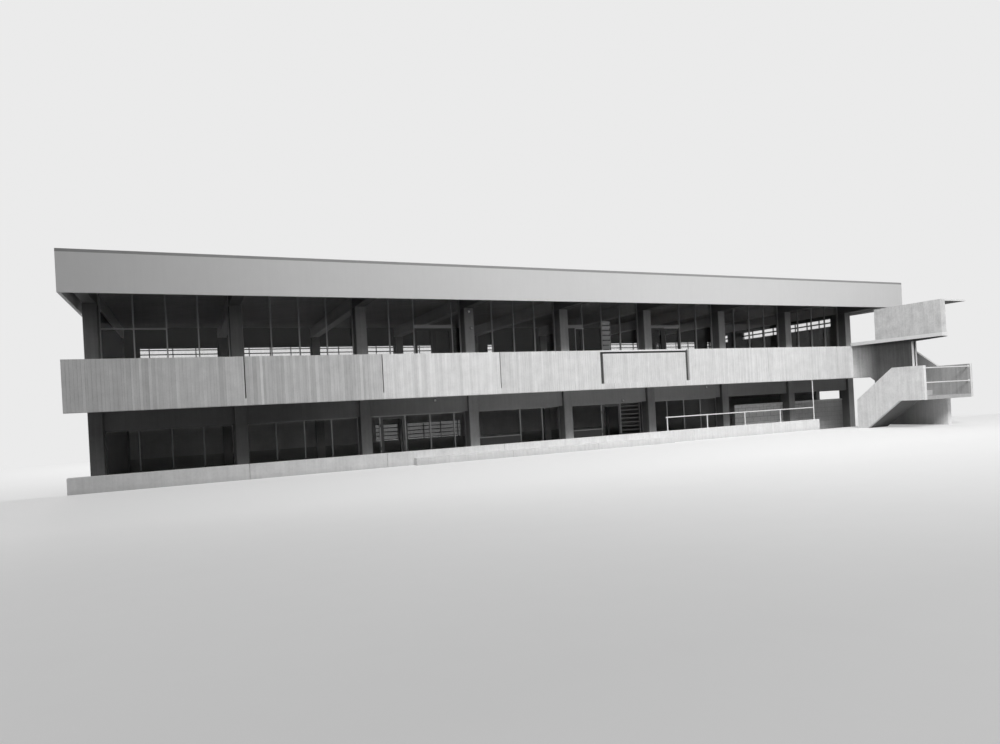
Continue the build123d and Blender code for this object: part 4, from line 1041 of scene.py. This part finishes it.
PULL_REACH, PULL_LENGTH, PULL_RISE = 0.06, 0.3, 0.95
LEAF_FACE = GLAZING + 0.06 - 0.045
DOOR_TRIMS = ((15.47, 15.49, UPPER_FLOOR, 5.165), (15.49, 15.87, 5.145, 5.165), (19.57, 20.27, 5.165, 5.20))
plates("gallery_door_trims", GLAZING - 0.004, GLAZING + 0.004, DOOR_TRIMS, 0.002, RAIL_PAINT)
pulls("gallery_door_pulls",
      [(x, LEAF_FACE, UPPER_FLOOR + PULL_RISE) for x in (9.88, 9.975, 15.75, 19.47, 19.565)])
for number in (1, 2):
    body = f"door_{number}"
    (left, _, foot), (right, _, _) = grid_box(f"lower_door_{number}")
    pulls(f"lower_door_{number}_pull", [(right - 0.045, GLAZING, GROUND_FLOOR + PULL_RISE)], body)
    plates(f"lower_door_{number}_kick_plate", GLAZING - 0.003, GLAZING + 0.001,
           [(left + 0.03, right - 0.03, foot + 0.02, foot + 0.16)], 0.001, STEEL, body)
    print(body, "is", round(right - left, 3), "m wide")

# %% [markdown]
# Each post of the handrail stands on a round flange, the tall one has a flange at its
# head too, and so has each end of the two landing rails. A flange could be a plain disc,
# but a short rod that narrows in steps gives it the rim that catches light. A lamp is a
# flat base with a dome on it.

# %% Flanges and lamps
RAIL_Y, TALL_POST, POST_PITCH, TUBE_HALF = 0.1, 24.54, 1.78, 0.0225
FLANGE = np.array([(0, 0, 0.0), (0, 0, 0.006), (0, 0, 0.012), (0, 0, 0.014)])
FLANGE_RADII = (0.055, 0.055, 0.045, 0.03)
feet = [np.array([TALL_POST - POST_PITCH * step, RAIL_Y, WALL_HEIGHT]) + FLANGE for step in range(5)]
carried("handrail_flanges", rods(feet, FLANGE_RADII, 20), RAIL_PAINT)
head = np.array([TALL_POST, RAIL_Y, BEAM_LOW]) - FLANGE
carried("tall_post_head", rods([head], FLANGE_RADII, 20), RAIL_PAINT)
(x0, y0, z0), (x1, y1, z1) = grid_box("landing_railing")
ends = [np.array([x, (y0 + y1) / 2, z]) + FLANGE[:, ::-1] * (way, 1, 1)
        for z in (z0 + TUBE_HALF, z1 - TUBE_HALF) for x, way in ((x0, 1), (x1, -1))]
carried("landing_rail_flanges", rods(ends, (0.05, 0.05, 0.042, 0.028), 20), RAIL_PAINT)

BEAM_FACE = grid_box("front_floor_beams")[0][1]
LAMPS = np.array([(9.77, BEAM_FACE, 2.70), (17.26, BEAM_FACE, 2.36), (21.32, BEAM_FACE, 2.72),
                  (11.17, COLUMN_FRONT, 5.13), (11.10, COLUMN_FRONT, 5.70)])
base = np.array([(0, 0.002, 0), (0, -0.02, 0), (0, -0.022, 0)])
angle = np.linspace(0, math.pi / 2 - 0.05, 7)
dome = np.stack([0 * angle, -0.02 - 0.035 * np.sin(angle), 0 * angle], 1)
carried("lamp_bases", rods(LAMPS[:, None] + base, (0.055, 0.055, 0.048), 24), DOOR_METAL)
carried("lamp_domes", rods(LAMPS[:, None] + dome, 0.045 * np.cos(angle), 24), OPAL, smooth=True)
print("flanges:", len(feet) + 1 + len(ends), "lamps:", len(LAMPS))

# %% [markdown]
# The steps have a dark ribbed strip let into each nosing. The strips could be placed by
# eye, but they are made from the rise and going of the flights, one block to a tread, so
# they lie where the treads do, a little proud of the concrete.

# %% Step nosings
RISERS, GOING, STAIR_FOOT = 6, 0.268, -1.03
END_GAP, STRIP_NEAR, STRIP_FAR, STRIP_DEEP, STRIP_PROUD = 0.05, 0.012, 0.06, 0.004, 0.003
rise = (UPPER_FLOOR - FRONT_GROUND) / (2 * RISERS)
lower_ends, upper_ends = ([low[0] + END_GAP, high[0] - END_GAP]
                          for low, high in map(grid_box, ("stair_lower_flight", "stair_upper_flight")))
boxes = []
for step in range(RISERS):
    edge, top = STAIR_FOOT - GOING * step, FRONT_GROUND + rise * (step + 1)
    boxes.append((*lower_ends, edge - STRIP_FAR, edge - STRIP_NEAR, top - STRIP_DEEP, top + STRIP_PROUD))
    edge = STAIR_FOOT - GOING * (RISERS - 1) + GOING * step
    top = FRONT_GROUND + rise * (RISERS + step + 1)
    boxes.append((*upper_ends, edge + STRIP_NEAR, edge + STRIP_FAR, top - STRIP_DEEP, top + STRIP_PROUD))
blocks("step_nosings", boxes, 0.001, RUBBER_AND_SHADE)
print("rise", round(rise, 4), "going", GOING)

# %% [markdown]
# The studio floor isn't part of the building. A flat plane could do, but the building
# stands lower than the ground in front of it. So the floor is one pale sheet with a step
# in it: low under and behind the building, and higher in front of the low wall. For the
# camera's rays it is a little paler than the light makes it, and far away it fades into
# the sky, so no horizon crosses the picture.

# %% Studio floor
REACH, HAIR = 160.0, 0.002
FLOOR_GREY, FLOOR_LIFT, FADE = 0.72, (0.08, 0.32), (18.0, 40.0)
profile = np.array([(-REACH, FRONT_GROUND), (-2 * HAIR, FRONT_GROUND), (-HAIR, -HAIR), (REACH, -HAIR)])
verts = np.array([(x, y, z) for x in (-REACH, REACH) for y, z in profile])
floor = link_mesh("studio_floor", to_row(verts), [(i, i + 4, i + 5, i + 1) for i in range(3)])
studio = finish("studio floor", FLOOR_GREY, 0.9, 0.02, 3.0, 0.0, relief=0.0)
w = Wires(studio.node_tree)
x, y, _ = w.place()
east = w.maths("SUBTRACT", x, FIRST_LINE + BAYS * BAY / 2)
reach = w.maths("SQRT", w.maths("ADD", w.maths("MULTIPLY", east, east), w.maths("MULTIPLY", y, y)))
seen = w.node("ShaderNodeLightPath").outputs["Is Camera Ray"]
near_glow = w.maths("MULTIPLY", seen, w.stretch(y, FACE - 17, FACE - 7, *FLOOR_LIFT))
lit = w.fill(w.node("ShaderNodeAddShader"), studio.node_tree.nodes["Principled BSDF"].outputs[0],
             w.glow(near_glow))
faded = w.fill(w.node("ShaderNodeMixShader"), w.maths("MULTIPLY", w.stretch(reach, *FADE, 0.0, 1.0), seen),
               lit.outputs[0], w.glow(SKY_SEEN))
w.put(faded.outputs[0], studio.node_tree.nodes["Material Output"].inputs["Surface"])
give(floor, studio)
print("floor step", round(FRONT_GROUND, 3), "m high")

# %% [markdown]
# At the end the scene is brought up to date.

# %% The end
bpy.context.view_layer.update()
